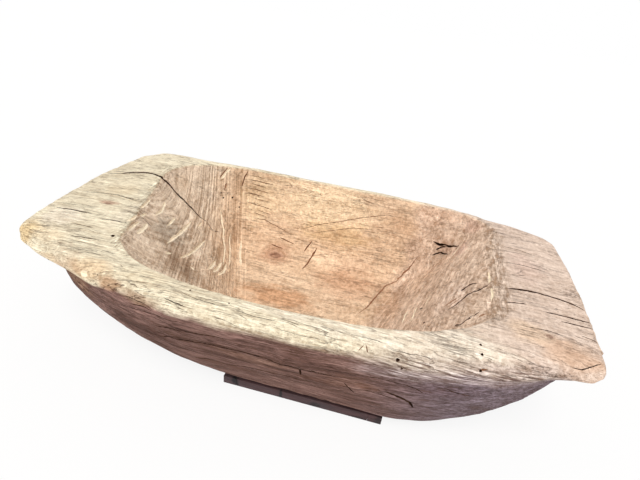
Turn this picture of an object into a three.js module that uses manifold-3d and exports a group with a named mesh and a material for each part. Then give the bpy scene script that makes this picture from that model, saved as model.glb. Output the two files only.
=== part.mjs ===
// Trough-shaped grinding bowl, hewn from one log, on a low dark stand of four bars.
// Millimetres. +X along the log to the right, +Y away from the viewer, +Z up.
// The origin is on the ground, in the middle of the bowl's length and width.

import * as THREE from 'three';
import { mergeVertices } from 'three/addons/utils/BufferGeometryUtils.js';
import Module from 'manifold-3d';

// Bowl: outside
const bowlLength = 847;          // tip to tip, along the grain
const bowlWidth = 466;           // across the bulging sides, at the shoulder of the rim
const bowlHeight = 194;          // flat underside to rim
const widestX = -96;             // where the sides bulge most
const leftFrontReach = 152;      // middle line to the left ledge's front corner
const leftBackReach = 211;
const rightFrontReach = 168;
const rightBackReach = 182;
const leftFrontTaper = 1.6;      // 1 narrows evenly, a higher power turns in late
const leftBackTaper = 4;
const rightFrontTaper = 2.2;
const rightBackTaper = 4;
const leftEndBow = 27;           // how far the left end is bowed out, over the bowl's full width
const rightEndBow = 14;
const endCornerRadius = 24;      // the ledges' worn corners, seen from above
const noseLength = 9;            // worn rounding of the ledges' end faces
const ledgeThickness = 24;       // at the ledges' tips
const leftLedgeDroop = 10;       // how far a ledge's tip lies below the rim
const rightLedgeDroop = 7;
const ledgeDroopPower = 2.2;     // above 1 the ledges' tops stay level and fall off near the tips
const leftOverhang = 86;         // ledge standing out past the hull, underneath
const rightOverhang = 54;

// Bowl: hull below the rim
const shoulderDrop = 23;         // rim's crest down to the widest line, at the middle
const ledgeShoulderDrop = 11;    // the same at the ledges' tips
const rimRound = 30;             // width of the rim's rounding towards the shoulder
const rimRoundShare = 0.8;       // at most this share of the rim is rounded
const bottomWidth = 306;         // flat underside, across
const keelLeftReach = 41;        // flat underside, from the middle to where it starts to rise
const keelRightReach = 169;
const leftHullFullness = 0.56;   // below 1 the hull's end turns up steeply, as a quarter arc does
const rightHullFullness = 0.83;
const ledgeFillet = 14;          // under the ledges, where they grow out of the hull
const bilge = 16;                // rounding between side wall and underside
const bilgeShare = 0.45;         // at most this share of a side wall is rounded
const sideBelly = 7;             // how far the side walls swell out past straight
const ledgeEdge = 20;            // the ledges' undersides are this much narrower on each side

// Bowl: hollow
const leftLedgeLength = 139;     // tip to the hollow's edge, along the middle
const rightLedgeLength = 116;
const hollowFrontReach = 193;    // middle line to the hollow's front edge
const hollowBackReach = 208;     // middle line to the hollow's back edge
const floorThickness = 42;       // wood under the hollow's floor
const leftWallRun = 165;         // hollow's edge to the foot of the left end wall, along X
const rightWallRun = 195;
const sideWallRun = 66;          // hollow's edge to the foot of the long walls, along Y
const sideWallEndRun = 10;       // the same where the hollow runs out at its two ends
const sideWallCurve = 2.2;       // above 1 the long walls drop steeply and ease into the floor
const ledgeLineShare = 0.7;      // the hollow's edge line runs out at this share of a ledge's tip
const leftEdgeSkew = 14;         // degrees by which the hollow's left edge runs askew
const leftFootSkew = 21;         // the same for the foot of the left end wall
const rightFootSkew = 15;
const rightEdgeSkew = 2;

// The hollow's four corners. A corner closes at reach, a share of the hollow's half length.
// A higher power keeps the side straight for longer, and a lower round makes a tighter corner.
// At half depth a corner's wall leans in by filled more than the long wall does.
const frontLeftCorner = { reach: 1.06, power: 5, round: 0.33, filled: 15 };
const frontRightCorner = { reach: 1.01, power: 3.5, round: 0.43, filled: 10 };
const backLeftCorner = { reach: 1.04, power: 3.2, round: 0.3, filled: 55 };
const backRightCorner = { reach: 1.01, power: 6, round: 0.2, filled: 20 };

// Stand
const standLength = 250;         // the dark strip, along X
const standDepth = 304;          // front face to back face
const standHeight = 14;
const standCentreX = 47;         // the stand sits a little to the right of the bowl's middle
const railWidth = 30;
const barWidth = 21;
const tenonLength = 13;
const tenonThickness = 5;
const tenonShoulder = 6;         // rail left on each side of a tenon
const pegRadius = 2.5;
const pegInset = 0.5;            // pegs are trimmed a little below the bars' faces
const pegSides = 16;
const jointClearance = 0.3;      // gap where two pieces of wood meet

// Faces along and around the bowl
const ledgeSteps = 4;
const wallSteps = 8;
const edgeCrowding = 1.6;        // above 1 the stations lie closer near the hollow's edges
const floorSteps = 5;
const noseSteps = 3;
const rimArcSteps = 3;
const sideWallSteps = 4;
const floorWidthSteps = 4;
const bilgeSteps = 3;
const weldDistance = 1e-3;       // points closer than this are one
const overcut = 1;               // how far a cutter reaches past the faces it opens

const halfLength = bowlLength / 2;
const undersideZ = standHeight + jointClearance;
const rimZ = undersideZ + bowlHeight;
const floorZ = undersideZ + floorThickness;
const leftEdgeX = -halfLength + leftLedgeLength;
const rightEdgeX = halfLength - rightLedgeLength;
const leftFootX = leftEdgeX + leftWallRun;
const rightFootX = rightEdgeX - rightWallRun;
const hollowMiddleX = (leftEdgeX + rightEdgeX) / 2;
const hollowHalfLength = (rightEdgeX - leftEdgeX) / 2;
// The ledges' tips close in pairs of points, so the hull's sides have as many as the top's.
const hullSideSteps = rimArcSteps + sideWallSteps + 1 - bilgeSteps;

const lerp = (a, b, t) => a + (b - a) * t;
const ease = (t) => t * t * (3 - 2 * t);
const share = (value, from, to) => THREE.MathUtils.clamp((value - from) / (to - from), 0, 1);
const slope = (degrees) => Math.tan(THREE.MathUtils.degToRad(degrees));

const wood = new THREE.MeshStandardMaterial({ color: 0xd9bd98, roughness: 0.9, metalness: 0 });
const darkWood = new THREE.MeshStandardMaterial({ color: 0x4d3d3c, roughness: 0.75, metalness: 0 });
const pegWood = new THREE.MeshStandardMaterial({ color: 0x6b5445, roughness: 0.8, metalness: 0 });

// How far a point lies out on a ledge: 0 at the hollow's edge, 1 at the tip.
function ledgeShare(x) {
  return x < hollowMiddleX ? share(x, leftEdgeX, -halfLength) : share(x, rightEdgeX, halfLength);
}

// The two long sides. Each tells how it narrows towards the tips, and how far the hollow reaches.
const longSides = [
  {
    sign: -1,
    left: { reach: leftFrontReach, taper: leftFrontTaper, corner: frontLeftCorner },
    right: { reach: rightFrontReach, taper: rightFrontTaper, corner: frontRightCorner },
    hollowReach: hollowFrontReach,
  },
  {
    sign: 1,
    left: { reach: leftBackReach, taper: leftBackTaper, corner: backLeftCorner },
    right: { reach: rightBackReach, taper: rightBackTaper, corner: backRightCorner },
    hollowReach: hollowBackReach,
  },
];

// Middle line to the shoulder, seen from above. The ledges' corners are rounded off.
function shoulderReach(side, x) {
  const tip = x < widestX ? -halfLength : halfLength;
  const end = x < widestX ? side.left : side.right;
  const narrowed = share(x, widestX, tip) ** end.taper;
  const inside = Math.min(endCornerRadius, Math.abs(tip - x));
  const rounded = endCornerRadius - Math.sqrt(endCornerRadius ** 2 - (endCornerRadius - inside) ** 2);
  return lerp(bowlWidth / 2, end.reach, narrowed) - rounded;
}

// Height of the rim and of the ledges' top faces.
function crestZ(x) {
  const droop = x < hollowMiddleX ? leftLedgeDroop : rightLedgeDroop;
  return rimZ - droop * ledgeShare(x) ** ledgeDroopPower;
}

// Depth of the hollow below the crest, along its middle line.
function hollowDepth(x) {
  const full = rimZ - floorZ;
  if (x < leftFootX) return full * share(x, leftEdgeX, leftFootX);
  if (x > rightFootX) return full * ease(share(x, rightEdgeX, rightFootX));
  return full;
}

// The hollow's edges and wall feet run askew: a cross line at x leans by this much per mm of Y.
function lean(x) {
  const left = lerp(-slope(leftEdgeSkew), -slope(leftFootSkew), share(x, leftEdgeX, leftFootX));
  const right = lerp(slope(rightEdgeSkew), slope(rightFootSkew), share(x, rightEdgeX, rightFootX));
  const turned = lerp(left, right, ease(share(x, leftFootX, rightFootX)));
  return turned * (1 - ease(ledgeShare(x)));
}

// The ledges' end faces are bowed: at the widest, a cross line at x is set back by this much.
function bow(x) {
  const reach = ease(ledgeShare(x));
  return x < hollowMiddleX ? leftEndBow * reach : -rightEndBow * reach;
}

function nearestCorner(side, x) {
  return x < hollowMiddleX ? side.left.corner : side.right.corner;
}

// Middle line to the hollow's edge. Past the hollow this line runs on along the ledge.
function hollowEdge(side, x) {
  const corner = nearestCorner(side, x);
  const along = Math.min(1, Math.abs(x - hollowMiddleX) / hollowHalfLength);
  const edge = side.hollowReach * (1 - (along / corner.reach) ** corner.power) ** corner.round;
  return lerp(edge, ledgeLineShare * shoulderReach(side, x), ledgeShare(x));
}

// One half of a cross section's top, from the shoulder in to the floor, as pairs: distance from
// the middle line, and height.
function topHalf(x, halfWidth, hollowHalf, filled) {
  const crest = crestZ(x);
  const depth = hollowDepth(x);
  const drop = lerp(shoulderDrop, ledgeShoulderDrop, ledgeShare(x));
  const round = Math.min(rimRound, rimRoundShare * (halfWidth - hollowHalf));
  const deep = depth / (rimZ - floorZ);
  const run = lerp(sideWallEndRun, sideWallRun, deep) + 4 * filled * deep * (1 - deep);
  const points = [];
  for (let i = 0; i <= rimArcSteps; i++) {
    const angle = (i / rimArcSteps) * Math.PI / 2;
    points.push([halfWidth - round * (1 - Math.cos(angle)), crest - drop * (1 - Math.sin(angle))]);
  }
  for (let i = 0; i <= sideWallSteps; i++) {
    const inward = i / sideWallSteps;
    points.push([hollowHalf - run * inward, crest - depth * (1 - (1 - inward) ** sideWallCurve)]);
  }
  return points;
}

// The rest of one half: from the shoulder down the side wall and round the bilge to the underside.
function bottomHalf(shoulder, edge) {
  const side = new THREE.Vector3().subVectors(edge, shoulder);
  const cut = Math.min(bilge, bilgeShare * side.length());
  const wallEnd = edge.clone().addScaledVector(side, -cut / side.length());
  const bilgeEnd = new THREE.Vector3(edge.x, edge.y - Math.sign(edge.y) * cut, edge.z);
  const swell = sideBelly * Math.min(1, side.length() / bowlHeight) * Math.sign(edge.y);
  const points = [];
  for (let i = 1; i <= hullSideSteps; i++) {
    const down = i / hullSideSteps;
    const point = shoulder.clone().lerp(wallEnd, down);
    point.y += 4 * swell * down * (1 - down);
    points.push(point);
  }
  const bend = new THREE.QuadraticBezierCurve3(wallEnd, edge, bilgeEnd);
  for (let i = 1; i <= bilgeSteps; i++) points.push(bend.getPoint(i / bilgeSteps));
  return points;
}

// Stations along the bowl. Each has a place on its top face and one on its underside.
function stations() {
  const list = [];
  const rise = (angle, fullness) => 1 - Math.sin(angle) ** (2 * fullness);
  function ledge(tip, inner, root, tipZ) {
    const direction = Math.sign(inner - tip);
    const points = [];
    for (let i = 0; i <= ledgeSteps; i++) {
      const along = i / ledgeSteps;
      const under = lerp(tip, root, along);
      const near = Math.max(0, ledgeFillet - Math.abs(root - under));
      const dip = ledgeFillet - Math.sqrt(ledgeFillet ** 2 - near ** 2);
      points.push({
        topX: lerp(tip, inner, along),
        bottomX: under,
        bottomZ: tipZ - dip,
        ledge: 1 - along,
      });
    }
    return direction > 0 ? points : points.reverse();
  }
  function hull(inner, foot, root, keel, rootZ, fullness, steps) {
    const points = [];
    for (let i = 1; i <= steps; i++) {
      const along = i / steps;
      const angle = along * Math.PI / 2;
      points.push({
        topX: lerp(inner, foot, along ** edgeCrowding),
        bottomX: keel + (root - keel) * Math.cos(angle),
        bottomZ: undersideZ + (rootZ - undersideZ) * rise(angle, fullness),
        ledge: 0,
      });
    }
    return points;
  }
  const leftTip = -halfLength + noseLength;
  const rightTip = halfLength - noseLength;
  const leftRoot = -halfLength + leftOverhang;
  const rightRoot = halfLength - rightOverhang;
  const leftUnderZ = rimZ - leftLedgeDroop - ledgeThickness;
  const rightUnderZ = rimZ - rightLedgeDroop - ledgeThickness;
  const keelLeft = -keelLeftReach;
  const keelRight = keelRightReach;
  list.push(...ledge(leftTip, leftEdgeX, leftRoot, leftUnderZ));
  list.push(...hull(leftEdgeX, leftFootX, leftRoot, keelLeft, leftUnderZ - ledgeFillet,
    leftHullFullness, wallSteps));
  for (let i = 1; i < floorSteps; i++) {
    const along = i / floorSteps;
    list.push({
      topX: lerp(leftFootX, rightFootX, along),
      bottomX: lerp(keelLeft, keelRight, along),
      bottomZ: undersideZ,
      ledge: 0,
    });
  }
  list.push(...hull(rightEdgeX, rightFootX, rightRoot, keelRight, rightUnderZ - ledgeFillet,
    rightHullFullness, wallSteps).reverse());
  list.push(...ledge(rightTip, rightEdgeX, rightRoot, rightUnderZ));
  return list;
}

// The ring of points round the bowl at one station: first across the top, front to back, then
// across the underside, front to back. Both halves have the same number of points.
function ring(station) {
  const x = station.topX;
  const bowed = (y) => bow(x) * (y / (bowlWidth / 2)) ** 2;
  const onTop = (y, z) => new THREE.Vector3(x + lean(x) * y + bowed(y), y, z);
  const underneath = (y, z) => new THREE.Vector3(station.bottomX + bowed(y) * station.ledge, y, z);
  const halves = longSides.map((side) => {
    const reach = shoulderReach(side, x + lean(x) * side.sign * shoulderReach(side, x));
    const { filled } = nearestCorner(side, x);
    const top = topHalf(x, reach, hollowEdge(side, x), filled).map(([y, z]) => onTop(side.sign * y, z));
    const edgeY = side.sign * lerp(bottomWidth / 2, reach - ledgeEdge, station.ledge);
    const bottom = bottomHalf(top[0], underneath(edgeY, station.bottomZ));
    return { top, bottom: [top[0], ...bottom] };
  });
  const joinAcross = (front, back, put) => {
    const a = front[front.length - 1];
    const b = back[back.length - 1];
    const middle = [];
    for (let i = 1; i < floorWidthSteps; i++) {
      middle.push(put(lerp(a.y, b.y, i / floorWidthSteps), lerp(a.z, b.z, i / floorWidthSteps)));
    }
    return [...front, ...middle, ...back.slice().reverse()];
  };
  return {
    top: joinAcross(halves[0].top, halves[1].top, onTop),
    bottom: joinAcross(halves[0].bottom, halves[1].bottom, underneath),
  };
}

// The rings that round off a ledge's end face. The last one is flat, so its halves meet.
function noseRings(lastRing, x, tip) {
  const outward = Math.sign(tip);
  const rings = [];
  for (let i = 1; i <= noseSteps; i++) {
    const angle = (i / noseSteps) * Math.PI / 2;
    const advance = noseLength * Math.sin(angle);
    const round = (point, partner) => {
      const side = longSides[point.y < 0 ? 0 : 1];
      const narrowing = shoulderReach(side, x + outward * advance) / shoulderReach(side, x);
      const middle = point.clone().add(partner).multiplyScalar(0.5);
      const moved = middle.lerp(point, i === noseSteps ? 0 : Math.cos(angle));
      return new THREE.Vector3(moved.x + outward * advance, moved.y * narrowing, moved.z);
    };
    rings.push({
      top: lastRing.top.map((point, k) => round(point, lastRing.bottom[k])),
      bottom: lastRing.bottom.map((point, k) => round(point, lastRing.top[k])),
    });
  }
  return rings;
}

// Skins the rings with two triangles for each square.
function skin(rings) {
  const loops = rings.map(({ top, bottom }) => [...top, ...bottom.slice(1, -1).reverse()]);
  const around = loops[0].length;
  const positions = loops.flat().flatMap((point) => [point.x, point.y, point.z]);
  const indices = [];
  for (let i = 0; i + 1 < loops.length; i++) {
    for (let k = 0; k < around; k++) {
      const a = i * around + k;
      const b = i * around + (k + 1) % around;
      indices.push(a, a + around, b, b, a + around, b + around);
    }
  }
  const geometry = new THREE.BufferGeometry();
  geometry.setAttribute('position', new THREE.Float32BufferAttribute(positions, 3));
  geometry.setIndex(indices);
  return geometry;
}

function bowlGeometry() {
  const line = stations();
  const rings = line.map(ring);
  const left = noseRings(rings[0], line[0].topX, -halfLength).reverse();
  const right = noseRings(rings[rings.length - 1], line[line.length - 1].topX, halfLength);
  return closed(skin([...left, ...rings, ...right]));
}

// Merges equal points and drops the triangles that this leaves without a face.
function closed(geometry) {
  const bare = geometry.clone();
  for (const name of ['normal', 'uv']) bare.deleteAttribute(name);
  const merged = mergeVertices(bare, weldDistance);
  const kept = [];
  const index = merged.getIndex().array;
  for (let i = 0; i < index.length; i += 3) {
    const [a, b, c] = index.slice(i, i + 3);
    if (a !== b && b !== c && c !== a) kept.push(a, b, c);
  }
  merged.setIndex(kept);
  return merged;
}

const wasm = await Module();
wasm.setup();

function solid(geometry) {
  const mesh = closed(geometry);
  return new wasm.Manifold(new wasm.Mesh({
    numProp: 3,
    vertProperties: new Float32Array(mesh.getAttribute('position').array),
    triVerts: new Uint32Array(mesh.getIndex().array),
  }));
}

function fromSolid(manifold) {
  const mesh = manifold.getMesh();
  const geometry = new THREE.BufferGeometry();
  geometry.setAttribute('position', new THREE.BufferAttribute(mesh.vertProperties, mesh.numProp));
  geometry.setIndex(new THREE.BufferAttribute(mesh.triVerts, 1));
  return geometry;
}

// A block given by its lowest and highest corners.
function block(low, high) {
  const geometry = new THREE.BoxGeometry(high[0] - low[0], high[1] - low[1], high[2] - low[2]);
  geometry.translate((low[0] + high[0]) / 2, (low[1] + high[1]) / 2, (low[2] + high[2]) / 2);
  return solid(geometry);
}

function upright(x, y, radius, bottom, top) {
  const geometry = new THREE.CylinderGeometry(radius, radius, top - bottom, pegSides);
  geometry.rotateX(Math.PI / 2);
  geometry.translate(x, y, (bottom + top) / 2);
  return solid(geometry);
}

const standLeft = standCentreX - standLength / 2;
const standRight = standCentreX + standLength / 2;
const pegFromShoulder = tenonLength / 2;

// One end of a rail: the bar's inner face, and the way from there into the bar.
const railEnds = [
  { side: 'left', face: standLeft + barWidth, into: -1 },
  { side: 'right', face: standRight - barWidth, into: 1 },
];
const railRows = [
  { side: 'front', near: -standDepth / 2, far: -standDepth / 2 + railWidth },
  { side: 'back', near: standDepth / 2 - railWidth, far: standDepth / 2 },
];

// The tenon at one end of one rail, or the mortise for it when grown by the clearance.
function tenon(row, end, grow) {
  const root = end.face - end.into * 2 * jointClearance;
  const tip = end.face + end.into * (tenonLength + grow);
  const middleZ = standHeight / 2;
  return block(
    [Math.min(root, tip), row.near + tenonShoulder - grow, middleZ - tenonThickness / 2 - grow],
    [Math.max(root, tip), row.far - tenonShoulder + grow, middleZ + tenonThickness / 2 + grow],
  );
}

function pegHole(row, end, grow, bottom, top) {
  const x = end.face + end.into * pegFromShoulder;
  return upright(x, (row.near + row.far) / 2, pegRadius + grow, bottom, top);
}

function railGeometry(row) {
  const shoulders = railEnds.map((end) => end.face - end.into * jointClearance);
  let rail = block([shoulders[0], row.near, 0], [shoulders[1], row.far, standHeight]);
  for (const end of railEnds) {
    rail = rail.add(tenon(row, end, 0));
    rail = rail.subtract(pegHole(row, end, jointClearance, -overcut, standHeight + overcut));
  }
  return fromSolid(rail);
}

function barGeometry(end) {
  const outside = end.face + end.into * barWidth;
  let bar = block(
    [Math.min(end.face, outside), -standDepth / 2, 0],
    [Math.max(end.face, outside), standDepth / 2, standHeight],
  );
  for (const row of railRows) {
    bar = bar.subtract(tenon(row, end, jointClearance));
    bar = bar.subtract(pegHole(row, end, jointClearance, -overcut, standHeight + overcut));
  }
  return fromSolid(bar);
}

function piece(name, geometry, material) {
  const mesh = new THREE.Mesh(geometry, material);
  mesh.name = name;
  return mesh;
}

const stand = new THREE.Group();
for (const row of railRows) {
  stand.add(piece(`stand_${row.side}_rail`, railGeometry(row), darkWood));
}
for (const end of railEnds) {
  stand.add(piece(`stand_${end.side}_bar`, barGeometry(end), darkWood));
  for (const row of railRows) {
    const peg = fromSolid(pegHole(row, end, 0, pegInset, standHeight - pegInset));
    stand.add(piece(`stand_peg_${row.side}_${end.side}`, peg, pegWood));
  }
}

const group = new THREE.Group();
group.add(piece('bowl_body', bowlGeometry(), wood));
group.add(stand);

export default group;
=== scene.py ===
"""A trough-shaped grinding bowl hewn from one log, on its low dark stand.

Everything is in metres, +X along the log, +Y to the back, +Z up.
"""

import math

import bpy
import numpy as np
from mathutils import Matrix, Vector
from mathutils.bvhtree import BVHTree
from mathutils.kdtree import KDTree


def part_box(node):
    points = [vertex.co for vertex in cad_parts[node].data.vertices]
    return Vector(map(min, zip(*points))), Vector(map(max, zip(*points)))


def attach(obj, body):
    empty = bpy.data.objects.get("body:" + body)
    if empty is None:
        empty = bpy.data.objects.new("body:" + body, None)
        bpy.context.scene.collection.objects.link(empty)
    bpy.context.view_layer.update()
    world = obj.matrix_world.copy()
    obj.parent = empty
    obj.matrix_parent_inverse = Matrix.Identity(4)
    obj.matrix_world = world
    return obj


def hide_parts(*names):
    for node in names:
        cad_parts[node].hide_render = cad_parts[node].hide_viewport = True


bl_info = {
    "name": "Hewn grinding bowl",
    "version": (1, 0, 0),
    "blender": (4, 5, 0),
    "location": "3D View > Sidebar > Bowl",
    "description": "Builds a hewn wooden grinding bowl and its stand over the packed frame",
    "category": "Object",
}

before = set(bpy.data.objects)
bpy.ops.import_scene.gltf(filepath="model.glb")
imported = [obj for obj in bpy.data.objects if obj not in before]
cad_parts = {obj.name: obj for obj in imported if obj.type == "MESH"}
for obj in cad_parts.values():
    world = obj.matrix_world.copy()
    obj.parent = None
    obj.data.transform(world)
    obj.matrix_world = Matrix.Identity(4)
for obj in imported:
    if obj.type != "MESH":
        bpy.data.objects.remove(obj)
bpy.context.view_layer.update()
BOWL_LOW, BOWL_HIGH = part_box("bowl_body")
STAND_BARS = ("stand_front_rail", "stand_back_rail", "stand_left_bar", "stand_right_bar")
STAND_PEGS = ("stand_peg_front_left", "stand_peg_front_right",
              "stand_peg_back_left", "stand_peg_back_right")
FRONT, BACK = -1, 1
MM = 0.001
INSET = 1e-5  # keeps the bowl inside the CAD box

# How far the end walls' lines slant in X along Y: at the hollow's edge and at its floor.
LEFT_LEAN = tuple(math.tan(math.radians(angle)) for angle in (-14, -21))
RIGHT_LEAN = tuple(math.tan(math.radians(angle)) for angle in (2, 15))

AROUND = 212  # points in one ring of the net, over the top and again underneath
RING_COUNTS = (30, 42, 54, 46, 25)  # rings: ledge, rising hull, middle, rising hull, ledge
DENSE = 620  # points in a ring before it is thinned out
NOSE_RINGS = 5  # rings that round off each end face
WEAR_PASSES = 150  # smoothing of the front's rolled-over edges
ZONES = ("hollow", "left_wall", "right_wall", "hull", "lip", "ruffle", "crackled", "grimed",
         "rubbed", "arc", "station")
CUT_STEP = 0.0035  # distance between the points of a cutter
CUT_LIFT = 0.0012  # how far a cutter stands out of the surface
STROKE_WIDENING = 1.3
BAR_WEAR, PEG_WEAR = 0.0012, 0.0005  # widths of the rounded edges
HEART_DRIFT = -0.086  # how far the log's heart moves in Y along X

FLOOR_GLOW = 0.86  # share of plain white in the floor that the camera sees
LAMP_FROM = Vector((0.02, -0.50, 0.86))
CAMERA_PLACE = (0.1201, -0.6315, 0.5747)
CAMERA_ANGLES = (9.1, 30.3, 7.8)  # degrees: turned right, raised, rolled

# The hollow's corners: where they close, how late and how tightly they turn, how far they
# are filled.
CORNERS = {
    ("left", FRONT): (1.06, 5.0, 0.33, 0.015),
    ("right", FRONT): (1.01, 3.5, 0.43, 0.010),
    ("left", BACK): (1.04, 3.2, 0.30, 0.055),
    ("right", BACK): (1.01, 6.0, 0.20, 0.020),
}

# Drying cracks: width and depth in mm, then points in mm that lie on or near the surface.
CRACKS = [
    # left ledge and the end wall below it
    (5.2, 16, [(-408, 71, 200), (-398, 73, 202), (-367, 83, 205), (-340, 92, 208), (-324, 93, 208),
        (-308, 88, 208), (-299, 92, 202), (-290, 93, 191), (-279, 92, 180), (-266, 94, 166),
        (-252, 98, 151), (-236, 99, 136), (-226, 108, 124)]),
    (1.2, 4, [(-225, 109, 123), (-211, 104, 109), (-203, 122, 98)]),
    (1.7, 5, [(-398, -11, 201), (-370, -7, 205), (-333, -7, 207), (-313, -12, 208),
        (-293, -15, 208)]),
    (2.2, 6, [(-398, -78, 201), (-365, -78, 204), (-328, -80, 207)]),
    (1.6, 4, [(-339, -117, 206), (-320, -115, 207), (-302, -115, 207)]),
    (2.0, 4, [(-314, -146, 207), (-293, -144, 208), (-271, -142, 208)]),
    (1.9, 5, [(-314, -88, 208), (-291, -85, 208), (-266, -84, 206)]),
    (1.0, 4, [(-265, -47, 201), (-248, -47, 187)]),
    # right ledge
    (3.8, 11, [(303, -31, 208), (328, -26, 208), (350, -24, 207), (367, -24, 207), (384, -25, 205),
        (401, -28, 204), (418, -34, 201)]),
    (1.4, 4, [(316, 99, 208), (343, 98, 208), (366, 90, 207)]),
    (1.7, 4, [(312, 45, 208), (343, 47, 208), (375, 46, 206)]),
    (1.4, 3, [(317, 11, 208), (341, 17, 208)]),
    (2.0, 5, [(301, -66, 208), (329, -60, 208)]),
    (2.6, 7, [(350, -68, 207), (381, -65, 206), (417, -62, 202)]),
    (2.2, 6, [(373, -80, 206), (395, -77, 204), (418, -74, 201)]),
    (1.8, 5, [(394, -100, 204), (405, -101, 203), (418, -103, 200)]),
    (1.5, 4, [(318, -112, 208), (352, -109, 207), (372, -112, 206)]),
    (1.5, 4, [(371, -166, 204), (382, -164, 202), (393, -156, 202), (408, -145, 202)]),
    # front of the hull
    (2.4, 6, [(-165, -211, 142), (-141, -216, 148), (-115, -221, 154), (-81, -225, 161),
        (-44, -226, 167)]),
    (3.4, 10, [(-174, -192, 104), (-130, -207, 124), (-89, -214, 134), (-54, -217, 140),
        (-24, -217, 142), (-3, -216, 140), (16, -215, 137), (50, -213, 134), (91, -211, 132),
        (112, -211, 136)]),
    (1.8, 5, [(132, -202, 114), (156, -198, 110), (185, -192, 101)]),
    (2.4, 8, [(-118, -181, 71), (-84, -189, 81), (-56, -190, 81), (-29, -195, 91), (-7, -196, 93),
        (21, -198, 97), (50, -198, 98), (73, -199, 100)]),
    (4.5, 9, [(162, -201, 120), (174, -198, 114), (187, -194, 108), (196, -191, 101),
        (204, -183, 85)]),
    (2.4, 4, [(108, -206, 121), (116, -202, 112), (123, -196, 97)]),
    (3.6, 5, [(49, -214, 139), (50, -211, 128), (50, -205, 114)]),
    (1.6, 4, [(-190, -214, 168), (-160, -220, 172), (-128, -226, 175), (-96, -229, 178)]),
    (1.2, 4, [(-150, -204, 122), (-110, -212, 134), (-70, -216, 142), (-36, -219, 146)]),
    (2.0, 5, [(60, -213, 138), (76, -212, 133), (92, -212, 134)]),
    (1.6, 5, [(120, -212, 150), (150, -211, 150), (182, -207, 144), (214, -201, 132)]),
    (1.4, 4, [(96, -203, 112), (136, -202, 116), (170, -199, 112)]),
    (1.6, 4, [(228, -198, 150), (252, -192, 140), (276, -186, 134)]),
    # front rim
    (0.7, 2, [(-40, -214, 207), (-14, -217, 206), (16, -216, 206)]),
    (0.6, 2, [(10, -224, 202), (40, -225, 200), (74, -224, 200)]),
    (0.6, 2, [(96, -206, 207), (128, -205, 207), (150, -206, 207)]),
    (0.7, 2, [(150, -212, 202), (184, -210, 202), (212, -208, 200)]),
    (0.6, 2, [(196, -186, 208), (228, -184, 208), (256, -180, 207)]),
    (0.7, 2, [(-120, -206, 208), (-92, -213, 207), (-60, -214, 207)]),
    (1.2, 4, [(-132, -220, 202), (-115, -223, 201), (-100, -225, 200)]),
    (0.9, 3, [(-94, -209, 207), (-77, -209, 207), (-59, -207, 207)]),
    # splintered patch under the front rim
    (1.4, 4, [(-186, -219, 188), (-170, -224, 189), (-152, -228, 186)]),
    (1.6, 5, [(-178, -219, 180), (-160, -225, 182), (-140, -228, 180)]),
    (1.3, 4, [(-196, -209, 168), (-176, -216, 170), (-158, -221, 173)]),
    # right end wall and the torn place in its back corner
    (4.6, 8, [(211, 186, 143), (222, 180, 142), (232, 176, 146), (243, 166, 152),
        (256, 155, 162)]),
    (3.6, 6, [(219, 175, 131), (227, 175, 139), (236, 174, 147)]),
    (4.4, 6, [(264, -35, 191), (274, -28, 197), (282, -23, 202)]),
    (3.0, 4, [(196, -7, 118), (199, -10, 122), (203, -13, 126)]),
    (2.6, 4, [(252, -96, 185), (258, -94, 190), (262, -92, 193)]),
    (3.4, 6, [(214, 170, 120), (227, 167, 133), (240, 150, 143)]),
    (4.4, 6, [(249, -18, 176), (260, -10, 186), (269, -14, 193)]),
    (2.6, 6, [(281, -24, 201), (268, -31, 194), (256, -38, 184), (240, -51, 172),
        (230, -54, 162)]),
    (2.4, 6, [(237, -106, 174), (244, -106, 179), (254, -97, 187), (268, -88, 196)]),
]

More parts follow.
